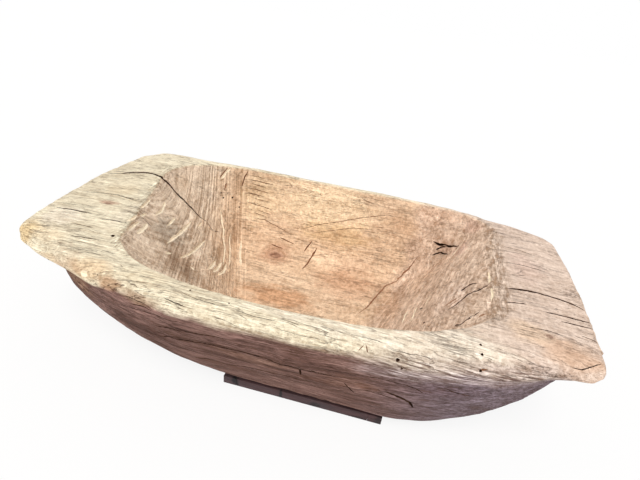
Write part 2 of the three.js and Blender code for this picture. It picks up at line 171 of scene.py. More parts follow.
# Shallow worn grooves, as CRACKS: their walls get a milder painted shade than the cracks.
GROOVES = [
    # fold between the back wall and the right end wall
    (3.4, 2.4, [(191, 177, 111), (177, 165, 84), (160, 153, 64), (139, 125, 56), (126, 86, 56),
        (115, 50, 56), (100, 20, 56)]),
    # back left corner of the hollow
    (2.6, 2, [(-221, 199, 204), (-225, 195, 199), (-233, 186, 184)]),
    (3.0, 2, [(-218, 186, 176), (-220, 179, 160)]),
    (2.6, 3, [(-180, 204, 204), (-186, 200, 189), (-189, 195, 170)]),
    # back wall and floor
    (1.6, 2, [(-184, 193, 158), (-163, 194, 159), (-138, 195, 157)]),
    (1.6, 1.5, [(-158, 184, 122), (-128, 184, 118)]),
    (1.8, 1.5, [(-157, 180, 111), (-131, 182, 112), (-111, 180, 106), (-89, 178, 100),
        (-70, 176, 94)]),
    (2.8, 2, [(-93, 171, 85), (-60, 168, 78)]),
    (2.8, 2, [(-109, 162, 70), (-82, 160, 67)]),
    (1.6, 1.5, [(-98, 176, 93), (-83, 175, 91)]),
    (2.8, 3, [(-25, 176, 91), (-32, 169, 79), (-38, 162, 69)]),
    (3.6, 3, [(-12, 170, 82), (-21, 154, 62), (-28, 117, 56)]),
    (1.4, 1.5, [(35, 32, 56), (69, 35, 56), (87, 37, 56)]),
    (1.6, 2, [(58, 204, 193), (79, 203, 188)]),
    # right end wall
    (2.0, 2, [(195, 106, 94), (214, 132, 110), (228, 143, 128), (239, 135, 143)]),
    (3.2, 4, [(226, -42, 157), (234, -37, 164), (243, -31, 173)]),
    (2.4, 3, [(231, -46, 163), (240, -41, 170), (248, -36, 177)]),
    (2.0, 2, [(196, 107, 94), (211, 123, 108), (228, 138, 129), (240, 144, 141)]),
    (2.8, 4, [(263, -103, 194), (274, -95, 199)]),
    # chips on the front rim
    (1.4, 1.5, [(117, -221, 192), (121, -217, 198), (123, -214, 202)]),
    (1.9, 2, [(130, -220, 193), (127, -217, 198), (125, -214, 202)]),
    # gouge lines on the back wall
    (1.5, 1.5, [(-172, 200, 196), (-148, 200, 195)]),
    (1.8, 1.8, [(-178, 199, 188), (-150, 199, 186), (-124, 199, 186)]),
    (1.5, 1.5, [(-168, 198, 179), (-138, 198, 177)]),
    (2.0, 2.0, [(-180, 196, 170), (-152, 196, 168), (-128, 196, 166)]),
    (1.6, 1.6, [(-160, 193, 150), (-126, 193, 148)]),
    (1.8, 1.8, [(-176, 190, 140), (-140, 190, 137), (-118, 190, 134)]),
    (1.5, 1.5, [(-150, 187, 128), (-120, 187, 124)]),
    (1.8, 1.2, [(-56, 182, 106), (-20, 188, 124), (20, 192, 138), (70, 196, 158),
        (128, 199, 176)]),
    (1.6, 1.2, [(-30, 182, 104), (10, 187, 118), (52, 191, 132), (96, 192, 138)]),
    # scar on the front rim
    (3.0, 2.5, [(261, -201, 193), (270, -198, 195)]),
]

# Light strokes of the gouge, as CRACKS: fresh wood shows in them.
STROKES = [
    (4.4, 1.8, [(-268, -82, 206), (-268, -55, 205)]),
    (4.2, 1.8, [(-256, -99, 205), (-258, -80, 202), (-260, -60, 200)]),
    (6.5, 2.2, [(-247, -89, 196), (-250, -65, 192), (-254, -49, 192)]),
    (3.9, 1.5, [(-266, -50, 203), (-265, -31, 198)]),
    (4.7, 1.8, [(-260, -16, 189), (-262, 11, 185), (-272, 41, 187)]),
    (5.7, 2.0, [(-221, -49, 163), (-224, -26, 158), (-225, -3, 154), (-229, 30, 149),
        (-234, 61, 145)]),
    (3.9, 1.5, [(-241, -10, 171), (-243, 6, 169), (-247, 26, 167)]),
    (4.4, 1.8, [(-197, -54, 143), (-196, -30, 135), (-196, -1, 128), (-203, 52, 117)]),
    (3.6, 1.5, [(-222, 62, 133), (-227, 89, 130)]),
    (4.9, 2.0, [(-166, -14, 104), (-168, 14, 97), (-171, 29, 95)]),
    (5.2, 2.0, [(-160, -10, 97), (-160, 11, 90), (-165, 41, 85)]),
    (4.7, 1.8, [(-153, -5, 89), (-153, 23, 79), (-159, 51, 76)]),
    (3.9, 1.5, [(-275, -34, 206), (-277, -16, 205), (-281, 13, 204)]),
    (3.9, 1.5, [(-211, -74, 161), (-208, -61, 154)]),
    (4.7, 1.8, [(-182, -50, 128), (-174, -48, 121)]),
    (3.9, 1.5, [(-220, 160, 134), (-210, 145, 112), (-201, 135, 95), (-181, 95, 81),
        (-160, 37, 81)]),
    (3.9, 1.5, [(-192, 149, 84), (-178, 114, 71), (-155, 54, 70)]),
    (3.9, 1.5, [(-173, 157, 67), (-160, 120, 58), (-142, 81, 56)]),
    (4.7, 1.5, [(-216, 198, 204), (-222, 193, 196), (-230, 185, 182)]),
    (7.8, 3.3, [(-264, -201, 193), (-250, -205, 192)]),
    (2.6, 1.2, [(174, -26, 98), (178, -6, 99), (182, 8, 100)]),
    (2.8, 1.2, [(186, -35, 111), (191, -17, 113), (194, 6, 113)]),
    (2.6, 1.2, [(205, -6, 127), (209, 6, 130), (212, 21, 130)]),
    (3.6, 1.6, [(282, -64, 203), (285, -49, 204), (285, -33, 203)]),
    (2.6, 1.2, [(244, 129, 152), (253, 146, 161), (262, 163, 171)]),
    (3.0, 1.4, [(283, -20, 202), (286, -2, 203), (285, 14, 203)]),
]

# Worm and nail holes: place, radius and depth, all in mm.
HOLES = [
    ((-264, -124, 206), 3.4, 8), ((-105, -200, 208), 1.7, 6), ((-50, -207, 208), 1.5, 5),
    ((165, -217, 191), 2.8, 8), ((172, -216, 179), 2.0, 6), ((259, -171, 208), 2.3, 6),
    ((261, -185, 206), 2.3, 6), ((262, -202, 192), 2.4, 5), ((203, -61, 135), 2.6, 5),
    ((200, -11, 122), 2.4, 4), ((240, -105, 177), 3.2, 6), ((239, 25, 161), 1.8, 4),
    ((-225, 174, 157), 2.0, 4), ((-219, 172, 148), 2.4, 5), ((-213, 181, 156), 1.8, 4),
    ((-204, 183, 147), 2.6, 5), ((-189, 183, 128), 2.2, 4),
]

# Patches on the bowl: centre and size in mm, colour, strength, and the side of the rim. Those
# marked below are painted light, a painted highlight or a painted shadow.
STAINS_AND_PAINTED_LIGHT = [
    # Painted light: the middle of the back wall brightened past white.
    ((-14, 197, 162), (150, 40, 84), (274, 252, 216), 0.85, "hollow"),
    ((24, 190, 110), (100, 30, 44), (246, 210, 158), 0.5, "hollow"),
    # Painted light: the back left wall brightened past white.
    ((-150, 192, 150), (50, 60, 70), (262, 238, 202), 0.9, "hollow"),
    ((-93, 144, 57), (46, 40, 34), (206, 154, 124), 0.5, "hollow"),
    ((60, 110, 56), (80, 40, 30), (220, 176, 140), 0.5, "hollow"),
    ((-45, 15, 56), (90, 44, 30), (220, 160, 112), 0.6, "hollow"),
    ((-331, -37, 207), (24, 10, 20), (212, 158, 132), 0.6, "outside"),
    ((-398, -150, 198), (44, 38, 30), (250, 220, 166), 0.75, "outside"),
    ((-255, -196, 198), (50, 20, 22), (246, 212, 168), 0.6, "outside"),
    ((-300, -185, 165), (60, 50, 50), (196, 158, 128), 0.6, "outside"),
    ((-212, -212, 194), (34, 12, 12), (204, 164, 128), 0.8, "outside"),
    ((-168, -222, 190), (48, 14, 11), (182, 150, 124), 0.8, "outside"),
    ((375, -145, 203), (60, 36, 30), (236, 194, 160), 0.55, "outside"),
    ((345, 40, 206), (40, 60, 30), (228, 200, 186), 0.5, "outside"),
    ((-235, -20, 160), (44, 60, 50), (186, 174, 158), 0.6, "hollow"),
    ((-200, -60, 130), (46, 56, 50), (174, 144, 118), 0.75, "hollow"),
    ((150, 50, 70), (30, 90, 40), (222, 180, 144), 0.45, "hollow"),
    # Painted light: the upper back right wall brightened past white.
    ((205, 201, 190), (50, 22, 22), (262, 230, 204), 0.75, "hollow"),
    ((240, -30, 166), (44, 60, 40), (246, 222, 204), 0.65, "hollow"),
    ((262, -75, 190), (24, 50, 24), (246, 222, 200), 0.6, "hollow"),
    # Painted highlight: a cream band along the left hollow edge.
    ((-284, -60, 208), (16, 66, 14), (255, 244, 220), 0.7, "outside"),
    # Painted light: the front rim brightened past white, on this line and the next.
    ((110, -200, 205), (170, 20, 14), (268, 260, 240), 0.7, "outside"),
    ((236, -188, 207), (100, 36, 16), (268, 258, 240), 0.95, "outside"),
    # Painted shadow: the soft grey shade below the fold between the back wall and the right end
    # wall.
    ((128, 95, 56), (14, 50, 12), (176, 150, 130), 0.5, "hollow"),
    ((48, -220, 158), (64, 24, 22), (118, 84, 74), 0.55, "outside"),
    ((235, -198, 140), (70, 40, 34), (132, 110, 118), 0.5, "outside"),
    ((140, 196, 158), (50, 26, 34), (224, 186, 152), 0.5, "hollow"),
    ((70, 110, 57), (90, 90, 30), (226, 182, 150), 0.45, "hollow"),
    ((199, 112, 97), (42, 40, 34), (252, 224, 198), 0.6, "hollow"),
    ((255, 135, 166), (24, 30, 24), (212, 172, 156), 0.5, "hollow"),
    ((232, 168, 146), (28, 18, 16), (186, 146, 124), 0.55, "hollow"),
    ((272, 182, 194), (32, 22, 18), (204, 164, 144), 0.55, "hollow"),
    ((-197, 145, 91), (26, 34, 26), (240, 214, 186), 0.6, "hollow"),
    ((-155, 19, 83), (24, 30, 24), (208, 180, 154), 0.5, "hollow"),
    ((-286, 129, 186), (24, 30, 24), (214, 188, 160), 0.5, "hollow"),
    # Painted light: rim and ledges brightened past white, on this line and the next three.
    ((-176, -197, 208), (50, 16, 14), (268, 256, 224), 0.6, "outside"),
    ((322, -122, 208), (36, 30, 14), (256, 228, 200), 0.7, "outside"),
    ((-366, -100, 204), (44, 40, 14), (268, 258, 238), 0.7, "outside"),
    ((-350, -150, 203), (34, 20, 14), (266, 248, 214), 0.6, "outside"),
    ((-340, 14, 207), (40, 34, 14), (226, 206, 172), 0.5, "outside"),
    ((-190, -195, 112), (80, 40, 46), (108, 76, 66), 0.75, "outside"),
    ((-18, -210, 124), (60, 30, 22), (168, 132, 118), 0.75, "outside"),
    ((116, -206, 122), (44, 30, 22), (176, 140, 128), 0.75, "outside"),
    ((290, -194, 172), (30, 24, 14), (200, 180, 182), 0.6, "outside"),
    ((253, -204, 178), (26, 20, 10), (140, 122, 128), 0.8, "outside"),
    ((-100, -222, 160), (50, 14, 5), (92, 62, 54), 0.8, "outside"),
    ((-20, -224, 170), (60, 14, 5), (96, 66, 58), 0.7, "outside"),
    ((-60, -206, 112), (60, 14, 5), (96, 66, 58), 0.7, "outside"),
    ((20, -206, 118), (50, 14, 5), (92, 64, 56), 0.7, "outside"),
    ((-130, -196, 94), (44, 14, 5), (92, 64, 56), 0.6, "outside"),
    ((90, -210, 146), (50, 14, 5), (94, 66, 60), 0.7, "outside"),
    ((-40, -213, 133), (60, 14, 5), (178, 142, 126), 0.6, "outside"),
    ((14, -209, 128), (50, 14, 5), (178, 142, 126), 0.6, "outside"),
    ((150, -212, 160), (44, 14, 5), (180, 160, 158), 0.6, "outside"),
]

# Knots, and where the rings swirl: centre and size in mm, how far they are pushed aside.
KNOTS = [((-93, 144, 57), (24, 18, 24)), ((-329, -40, 207), (9, 5, 14)),
         ((350, -120, 206), (9, 5, 9)), ((-70, -217, 150), (12, 10, 8))]
SWIRLS = [((-93, 144, 57), (34, 28, 40), 0.050), ((-331, -37, 207), (30, 14, 30), 0.020)]

# Scars and blots on the stand's front: centre and size in mm, strength.
STAND_MARKS = [((-60, -152, 9), (7, 9, 12), 1.0), ((-56, -152, 3), (5, 9, 8), 1.0),
               ((15, -152, 7), (3.5, 9, 22), 1.0), ((70, -152, 4), (12, 9, 7), 0.8),
               ((140, -152, 2), (22, 9, 5), 0.7), ((168, -152, 7), (10, 12, 20), 0.7),
               ((100, 152, 9), (14, 9, 6), 0.6), ((-20, 152, 4), (10, 9, 6), 0.6)]


def mix(a, b, t):
    return a + (b - a) * t


def ease(t):
    return t * t * (3 - 2 * t)


def share(value, start, end):
    return np.clip((value - start) / (end - start), 0.0, 1.0)


def bell(value, centre, width):
    return np.exp(-((value - centre) / width) ** 2)


def linear(red, green, blue):
    """A colour as a picture shows it, turned into the light values that the shaders use."""
    values = [v / 255 for v in (red, green, blue)]
    return tuple(v / 12.92 if v <= 0.04045 else ((v + 0.055) / 1.055) ** 2.4 for v in values)


def lattice(cells, seed):
    """A fixed random value from -1 to 1 for each whole-numbered cell."""
    h = np.full(cells.shape[:-1], seed * 1013904223 & 0xFFFFFFFF, dtype=np.uint64)
    for axis, prime in enumerate((73856093, 19349663, 83492791)[: cells.shape[-1]]):
        h = h ^ (cells[..., axis].astype(np.int64) * prime).astype(np.uint64)
        h = (h * np.uint64(2654435761) + np.uint64(12345)) & np.uint64(0xFFFFFFFF)
        h = h ^ (h >> np.uint64(15))
    return (h & np.uint64(0xFFFFFF)).astype(float) / 0x7FFFFF - 1


def noise(points, cell, seed):
    """Smooth random heights from -1 to 1; cell is the size of one bump along each axis."""
    scaled = points / np.asarray(cell)
    base = np.floor(scaled)
    part = ease(scaled - base)
    total = np.zeros(points.shape[:-1])
    for corner in range(2 ** points.shape[-1]):
        step = np.array([(corner >> axis) & 1 for axis in range(points.shape[-1])])
        weight = np.prod(np.where(step, part, 1 - part), axis=-1)
        total += weight * lattice(base + step, seed)
    return total


def tool_marks(places, cell, seed, tilt=0.6):
    """Hollow facets as a gouge leaves them: 0 in the middle of a mark, about 1 on its ridges."""
    scaled = places / np.asarray(cell)
    base = np.floor(scaled)
    best = np.full(places.shape[:-1], 9.0)
    slant = np.zeros(places.shape[:-1])
    for i in (-1, 0, 1):
        for j in (-1, 0, 1):
            cells = base + (i, j)
            site = cells + 0.5 + 0.42 * np.stack(
                [lattice(cells, seed), lattice(cells, seed + 1)], axis=-1)
            away = scaled - site
            distance = (away ** 2).sum(axis=-1)
            nearer = distance < best
            best = np.where(nearer, distance, best)
            lean = lattice(cells, seed + 2)[..., None] * away
            slant = np.where(nearer, lean.sum(axis=-1), slant)
    return best * 1.6 + tilt * slant


class HewnForm:
    """The bowl's smooth shape as functions of the place along the log."""

    def __init__(self, sizes):
        self.s = sizes
        self.half = sizes.length / 2
        self.under = BOWL_LOW.z
        self.rim = BOWL_HIGH.z
        self.full = self.rim - self.under - sizes.floor_thickness
        self.left_edge = -self.half + sizes.left_ledge
        self.right_edge = self.half - sizes.right_ledge
        self.left_foot = self.left_edge + sizes.left_wall
        self.right_foot = self.right_edge - sizes.right_wall
        self.middle = (self.left_edge + self.right_edge) / 2
        self.hollow_half = (self.right_edge - self.left_edge) / 2
        self.ends = {
            ("left", FRONT): (sizes.left_front_reach, 1.6),
            ("right", FRONT): (sizes.right_front_reach, 2.2),
            ("left", BACK): (sizes.left_back_reach, 4.0),
            ("right", BACK): (sizes.right_back_reach, 4.0),
        }

    def on_ledge(self, x):
        if x < self.middle:
            return share(x, self.left_edge, -self.half)
        return share(x, self.right_edge, self.half)

    def reach(self, side, x):
        left = x < self.s.widest
        tip = -self.half if left else self.half
        end, taper = self.ends[("left" if left else "right", side)]
        radius = self.s.corner_radius
        inside = min(radius, abs(tip - x))
        rounded = radius - math.sqrt(max(0.0, radius ** 2 - (radius - inside) ** 2))
        return mix(self.s.width / 2, end, share(x, self.s.widest, tip) ** taper) - rounded

    def crest(self, x):
        droop = self.s.left_droop if x < self.middle else self.s.right_droop
        return self.rim - droop * self.on_ledge(x) ** 2.2

    def depth(self, x):
        if x < self.left_foot:
            return self.full * share(x, self.left_edge, self.left_foot)
        if x > self.right_foot:
            return self.full * ease(share(x, self.right_edge, self.right_foot))
        return self.full

    def lean(self, x):
        left = mix(*LEFT_LEAN, share(x, self.left_edge, self.left_foot))
        right = mix(*RIGHT_LEAN, share(x, self.right_edge, self.right_foot))
        turned = mix(left, right, ease(share(x, self.left_foot, self.right_foot)))
        return turned * (1 - ease(self.on_ledge(x)))

    def bow(self, x):
        amount = self.s.left_bow if x < self.middle else -self.s.right_bow
        return amount * ease(self.on_ledge(x))

    def corner(self, side, x):
        return CORNERS[("left" if x < self.middle else "right", side)]

    def hollow_edge(self, side, x):
        closes, power, tightness, _ = self.corner(side, x)
        along = min(1.0, abs(x - self.middle) / self.hollow_half)
        reach = self.s.hollow_front if side == FRONT else self.s.hollow_back
        edge = reach * (1 - (along / closes) ** power) ** tightness
        return mix(edge, 0.7 * self.reach(side, x), self.on_ledge(x))

    def top_half(self, side, x):
        """From the shoulder in to the floor: Y, Z and a part number (1 crest, 2 edge, 3 foot)."""
        reach = self.reach(side, x + self.lean(x) * side * self.reach(side, x))
        edge = self.hollow_edge(side, x)
        crest, depth = self.crest(x), self.depth(x)
        drop = mix(self.s.shoulder_drop, self.s.ledge_shoulder_drop, self.on_ledge(x))
        rounding = min(self.s.rim_round, 0.8 * (reach - edge))
        deep = depth / self.full
        filled = 4 * self.corner(side, x)[3] * deep * (1 - deep)
        run = mix(0.010, self.s.side_wall, deep) + filled
        angle = np.linspace(0, math.pi / 2, 9)
        t = np.linspace(0, 1, 9)[1:]
        w = np.linspace(0, 1, 25)[1:]
        y = np.concatenate([reach - rounding * (1 - np.cos(angle)),
                            mix(reach - rounding, edge, t), edge - run * w])
        z = np.concatenate([crest - drop * (1 - np.sin(angle)), np.full(8, crest),
                            crest - depth * (1 - (1 - w) ** 2.2)])
        part = np.concatenate([angle / (math.pi / 2), 1 + t, 2 + w])
        return side * y, z, part, reach

    def bottom_half(self, side, station, reach, shoulder):
        """From the shoulder down the hull and round the bilge: X, Y, Z and a part number."""
        edge_y = side * mix(self.s.bottom_width / 2, reach - self.s.ledge_edge, station["ledge"])
        bowed = self.bow(station["top"]) * (edge_y / (self.s.width / 2)) ** 2
        bowed *= station["ledge"]
        edge = np.array([station["bottom"] + bowed, edge_y, station["z"]])
        way = edge - shoulder
        length = np.linalg.norm(way)
        cut = min(self.s.bilge, 0.45 * length)
        wall_end = edge - way * cut / length
        bilge_end = edge - np.array([0, side * cut, 0])
        swell = self.s.belly * min(1.0, length / (self.rim - self.under)) * side
        t = np.linspace(0, 1, 25)[:, None]
        wall = mix(shoulder, wall_end, t)
        wall[:, 1] += (4 * swell * t * (1 - t))[:, 0]
        b = np.linspace(0, 1, 9)[1:, None]
        bend = (1 - b) ** 2 * wall_end + 2 * b * (1 - b) * edge + b * b * bilge_end
        return np.vstack([wall, bend]), np.concatenate([-t[:, 0], -1 - b[:, 0]])

    def stations(self):
        """The places along the log where a ring is laid, from the left tip to the right one."""
        s = self.s
        left_under = self.rim - s.left_droop - s.ledge_thickness
        right_under = self.rim - s.right_droop - s.ledge_thickness

        def ledge(tip, inner, root, tip_z, steps):
            rows = []
            for along in np.linspace(0, 1, steps + 1):
                under = mix(tip, root, along)
                near = max(0.0, s.ledge_fillet - abs(root - under))
                dip = s.ledge_fillet - math.sqrt(s.ledge_fillet ** 2 - near ** 2)
                rows.append({"top": mix(tip, inner, along), "bottom": under,
                             "z": tip_z - dip, "ledge": 1 - along})
            return rows

        def hull(inner, foot, root, keel, root_z, fullness, steps):
            rows = []
            for along in np.linspace(0, 1, steps + 1)[1:]:
                angle = along * math.pi / 2
                rows.append({
                    "top": mix(inner, foot, along ** 1.25),
                    "bottom": keel + (root - keel) * math.cos(angle),
                    "z": mix(root_z, self.under, math.sin(angle) ** (2 * fullness)),
                    "ledge": 0.0})
            return rows

        counts = RING_COUNTS
        left_tip, right_tip = -self.half + s.nose, self.half - s.nose
        left_root, right_root = -self.half + s.left_overhang, self.half - s.right_overhang
        keel_left, keel_right = -s.keel_left, s.keel_right
        rows = ledge(left_tip, self.left_edge, left_root, left_under, counts[0])
        rows += hull(self.left_edge, self.left_foot, left_root, keel_left,
                     left_under - s.ledge_fillet, 0.56, counts[1])
        for along in np.linspace(0, 1, counts[2] + 1)[1:-1]:
            rows.append({"top": mix(self.left_foot, self.right_foot, along),
                         "bottom": mix(keel_left, keel_right, along),
                         "z": self.under, "ledge": 0.0})
        rows += hull(self.right_edge, self.right_foot, right_root, keel_right,
                     right_under - s.ledge_fillet, 0.83, counts[3])[::-1]
        rows += ledge(right_tip, self.right_edge, right_root, right_under, counts[4])[::-1]
        return rows


def softened(chain, sigma):
    """Rounds the corners of a chain of points as wear does; its two ends stay."""
    spread = int(3 * sigma)
    kernel = np.exp(-0.5 * (np.arange(-spread, spread + 1) / sigma) ** 2)
    kernel /= kernel.sum()
    out = np.empty_like(chain)
    for axis in range(chain.shape[1]):
        line = chain[:, axis]
        before = 2 * line[0] - line[1: spread + 1][::-1]
        after = 2 * line[-1] - line[-spread - 1: -1][::-1]
        out[:, axis] = np.convolve(np.concatenate([before, line, after]), kernel, mode="valid")
    return out


def spaced(chain, count, weight=None):
    """The same chain with count points, closer together where weight is high."""
    step = np.linalg.norm(np.diff(chain[:, :3], axis=0), axis=1)
    if weight is not None:
        step = step * (weight[1:] + weight[:-1]) / 2
    place = np.concatenate([[0], np.cumsum(step)])
    wanted = np.linspace(0, place[-1], count)
    return np.stack([np.interp(wanted, place, chain[:, k]) for k in range(chain.shape[1])], axis=1)


def lay_rings(form):
    """The bowl's skin as a net of points, with what each point is part of."""
    rows = []
    half_width = form.s.width / 2
    for station in form.stations():
        x = station["top"]
        front, back = (form.top_half(side, x) for side in (FRONT, BACK))
        y, z, part = (
            np.concatenate([front[k], np.linspace(front[k][-1], back[k][-1], 20)[1:-1],
                            back[k][::-1]]) for k in range(3))
        bent = x + form.lean(x) * y + form.bow(x) * (y / half_width) ** 2
        chain = np.column_stack([bent, y, z, part])
        top = spaced(softened(spaced(chain, DENSE), 2.2), AROUND)
        under = []
        for side, half, end in ((FRONT, front, top[0]), (BACK, back, top[-1])):
            points, parts = form.bottom_half(side, station, half[3], end[:3])
            under.append(np.column_stack([points, parts]))
        middle = np.linspace(under[0][-1], under[1][-1], 14)[1:-1]
        bowed = form.bow(x) * station["ledge"] / half_width ** 2
        middle[:, 0] = station["bottom"] + bowed * middle[:, 1] ** 2
        chain = spaced(np.vstack([under[0], middle, under[1][::-1]]), DENSE)
        weight = np.where(chain[:, 3] < -1.6, 0.35, np.where(chain[:, 1] < 0, 1.0, 0.6))
        rows.append((station, top, spaced(chain, AROUND, weight)))
    return rows


def close_noses(form, rows):
    """Adds the rings that round off the ledges' end faces; the last one is a flat line."""
    for outward in (-1, 1):
        station, top, bottom = rows[0] if outward < 0 else rows[-1]
        x = station["top"]
        extra = []
        for i in range(1, NOSE_RINGS + 1):
            angle = i / NOSE_RINGS * math.pi / 2
            advance = form.s.nose * math.sin(angle) * 0.98
            squeeze = 0.0 if i == NOSE_RINGS else math.cos(angle)
            ring = []
            for own, other in ((top, bottom), (bottom, top)):
                middle = (own + other) / 2
                moved = mix(middle, own, squeeze)
                moved[:, 3] = own[:, 3]
                for row, side in ((moved[:, 1] < 0, FRONT), (moved[:, 1] >= 0, BACK)):
                    moved[row, 1] *= (form.reach(side, x + outward * advance)
                                      / form.reach(side, x))
                moved[:, 0] += outward * advance
                ring.append(moved)
            extra.append((dict(station, nose=squeeze), ring[0], ring[1]))
        rows = extra[::-1] + rows if outward < 0 else rows + extra
    return rows


def outward_normals(net):
    along = np.gradient(net, axis=0)
    around = np.roll(net, -1, axis=1) - np.roll(net, 1, axis=1)
    normal = np.cross(along, around)
    length = np.linalg.norm(normal, axis=-1, keepdims=True)
    return normal / np.maximum(length, 1e-12)


def smoothed(points, amount, passes):
    """Evens out the net where amount is high; the ring direction closes on itself."""
    for _ in range(passes):
        beside = (np.roll(points, 1, axis=1) + np.roll(points, -1, axis=1)) / 2
        along = points.copy()
        along[1:-1] = (points[:-2] + points[2:]) / 2
        points = points + ((beside + along) / 2 - points) * amount[..., None] * 0.8
    return points


def bowl_net(form, surface):
    """The net of the bowl with its tool marks and wear, and its zones as values from 0 to 1."""
    rows = close_noses(form, lay_rings(form))
    net = np.array([np.vstack([top, bottom[1:-1][::-1]]) for _, top, bottom in rows])
    part, points = net[..., 3], net[..., :3]
    top_side = np.zeros(part.shape, bool)
    top_side[:, :AROUND] = True
    station_x = np.array([row[0]["top"] for row in rows])[:, None] + 0 * part
    whole = ease(np.array([row[0].get("nose", 1.0) for row in rows])[:, None] + 0 * part)
    below = np.array([form.crest(row[0]["top"]) for row in rows])[:, None] - points[..., 2]
    step = np.linalg.norm(np.roll(points, -1, axis=1) - points, axis=-1)
    girth = np.cumsum(step, axis=1)
    run = girth - step
    over, total = run[:, AROUND - 1][:, None], run[:, -1:] + step[:, -1:]
    # arc runs from the shoulder, up over the rim and, as a negative value, down the hull;
    # girth runs round the ring from the middle of the floor or of the underside.
    arc = np.where(top_side, np.minimum(run, over - run),
                   -np.minimum(run - over, total - run))
    girth = np.where(top_side, girth - girth[:, AROUND // 2][:, None],
                     girth - girth[:, (AROUND + net.shape[1]) // 2][:, None])
    x, y = points[..., 0], points[..., 1]

    # The front edge is worn round towards both ends.
    front = np.where(y < 0, 1.0, 0.0)
    shoulder = np.where(top_side, 1 - share(part, 0.8, 1.8), 1 - share(-part, 0.05, 0.45))
    worn_over = shoulder * front * (ease(share(x, 0.06, 0.22)) + ease(share(-x, 0.15, 0.30)))
    worn_over = worn_over * whole * (1 - ease(share(np.abs(x), 0.385, 0.41)))
    points = smoothed(points, worn_over, WEAR_PASSES)

    # Zones of wood that look different, with ragged borders.
    ragged = noise(points, (0.016, 0.012, 0.012), 73) * 0.0012
    hollow = np.where(top_side & (part > 1.5), ease(share(below + ragged, 0.0012, 0.0042)), 0)
    left = station_x + 0.02 * noise(points, (0.05, 0.03, 0.03), 75)
    left = hollow * (1 - ease(share(left, form.left_foot - 0.080, form.left_foot + 0.010)))
    softer = share(-y, 0.02, 0.11)
    right = station_x + 0.014 * noise(points, (0.04, 0.03, 0.03), 77) - form.right_foot
    right = hollow * ease(np.clip((right + mix(0.014, 0.07, softer))
                                  / mix(0.040, 0.13, softer), 0, 1))
    floor = np.clip(hollow - left - right, 0, 1)
    # Where the outside's darker colour, partly painted shade, begins and ends below the shoulder.
    at_left = ease(share(-x, 0.205, 0.275)) * front
    at_right = ease(share(x, 0.255, 0.32)) * front
    rolled = ease(share(x, 0.09, 0.19)) * front
    start = mix(-0.010 * front, 0.030, at_left)
    start = mix(mix(start, -0.012, rolled), 0.004, at_right)
    end = mix(0.002 * front + 0.012 * (1 - front), 0.045, at_left)
    end = mix(mix(end, 0.044, rolled), 0.050, at_right)
    ragged_arc = (-arc + 0.005 * noise(points, (0.03, 0.02, 0.02), 79)
                  + 0.002 * noise(points, (0.010, 0.005, 0.005), 83))
    hull = ease(np.clip((ragged_arc - start) / (end - start), 0, 1))
    hull = np.where(top_side & (part > 1.2), 0, hull)
    weathered = np.clip(1 - hollow - hull, 0, 1)
    past_right = 1 - ease(share(x, 0.33, 0.39))
    ruffle = front * ease(share(x, 0.09, 0.19)) * past_right
    ruffle = ruffle * bell(arc, -0.010, 0.026) * (1 - 0.7 * share(arc, 0.004, 0.014))
    rolling = front * ease(share(x, 0.10, 0.17)) * past_right
    # Painted shade in a band just above the front's rolled shoulder, and painted light in a band
    # just below it.
    grimed = rolling * bell(arc, 0.011, 0.011)
    rubbed = rolling * bell(arc, -mix(0.022, 0.032, at_right), mix(0.013, 0.024, at_right))
    crackled = front * bell(arc, 0.013, 0.014) * (1 - hollow)
    lip_right = np.where(top_side & (part > 1.7),
                         np.exp(-((station_x - form.right_edge + 0.011) / 0.016) ** 4), 0)
    lip_left = np.where(top_side & (part > 1.6), bell(station_x - form.left_edge, 0.002, 0.009), 0)

    # Tool marks, worn grain, torn places and the thinned edges, as a shift of the surface.
    flat = np.stack([x, girth], axis=-1)
    slope = np.stack([station_x * 1.35, girth], axis=-1)
    slanted = np.stack([station_x * 1.28 - girth * 0.33, girth * 0.94 + station_x * 0.45], axis=-1)
    wavy = flat + noise(flat, (0.05, 0.05), 5)[..., None] * 0.004
    marks = (
        floor * tool_marks(wavy, (0.050, 0.021), 11) * 1.0
        + left * tool_marks(slope, (0.018, 0.045), 17, 0.4) * 0.9
        + right * tool_marks(slanted, (0.021, 0.085), 23, 0.9) * 1.9
        + right * tool_marks(slanted, (0.0105, 0.060), 25, 0.9) * 1.0
        + hull * tool_marks(flat, (0.110, 0.026), 31) * 1.3
        + weathered * tool_marks(flat, (0.080, 0.032), 37) * 0.9
    )
    slow = (0.16, 0.05, 0.05)
    wander = points + 0.010 * np.stack(
        [np.zeros_like(x), noise(points, slow, 41), noise(points, slow, 43)], axis=-1)
    ridges = 1 - np.abs(noise(wander, (0.075, 0.0105, 0.0105), 45)) * 2
    bare = weathered * (1 - 0.55 * ease(share(x, 0.16, 0.30)))
    grain = (
        noise(wander, (0.060, 0.0075, 0.0075), 47) * (0.8 * bare + 0.6 * hull + 0.12 * floor)
        + noise(wander, (0.240, 0.016, 0.016), 53) * (0.7 * bare + 0.6 * hull + 0.15 * floor)
        + ridges * (0.25 * bare + 0.35 * hull)
    )
    large = noise(points, (0.13, 0.07, 0.07), 59) * 1.1 * (1 - 0.4 * floor)
    torn = lip_right * (noise(points, (0.007, 0.024, 0.012), 61) * 1.8
                        + noise(points, (0.026, 0.018, 0.018), 67) * 2.4 - 0.8)
    torn += lip_left * noise(points, (0.012, 0.010, 0.010), 69) * 1.2
    torn += right * noise(points, (0.012, 0.009, 0.009), 71) * 0.7
    splinter = bell(x, -0.165, 0.035) * bell(points[..., 2], 0.182, 0.016) * front
    torn += splinter * (noise(points, (0.020, 0.006, 0.006), 81) * 2.4 - 1.0)
    thinned = 0.007 * bell(x, 0.360, 0.022) + 0.006 * bell(x, -0.332, 0.022)

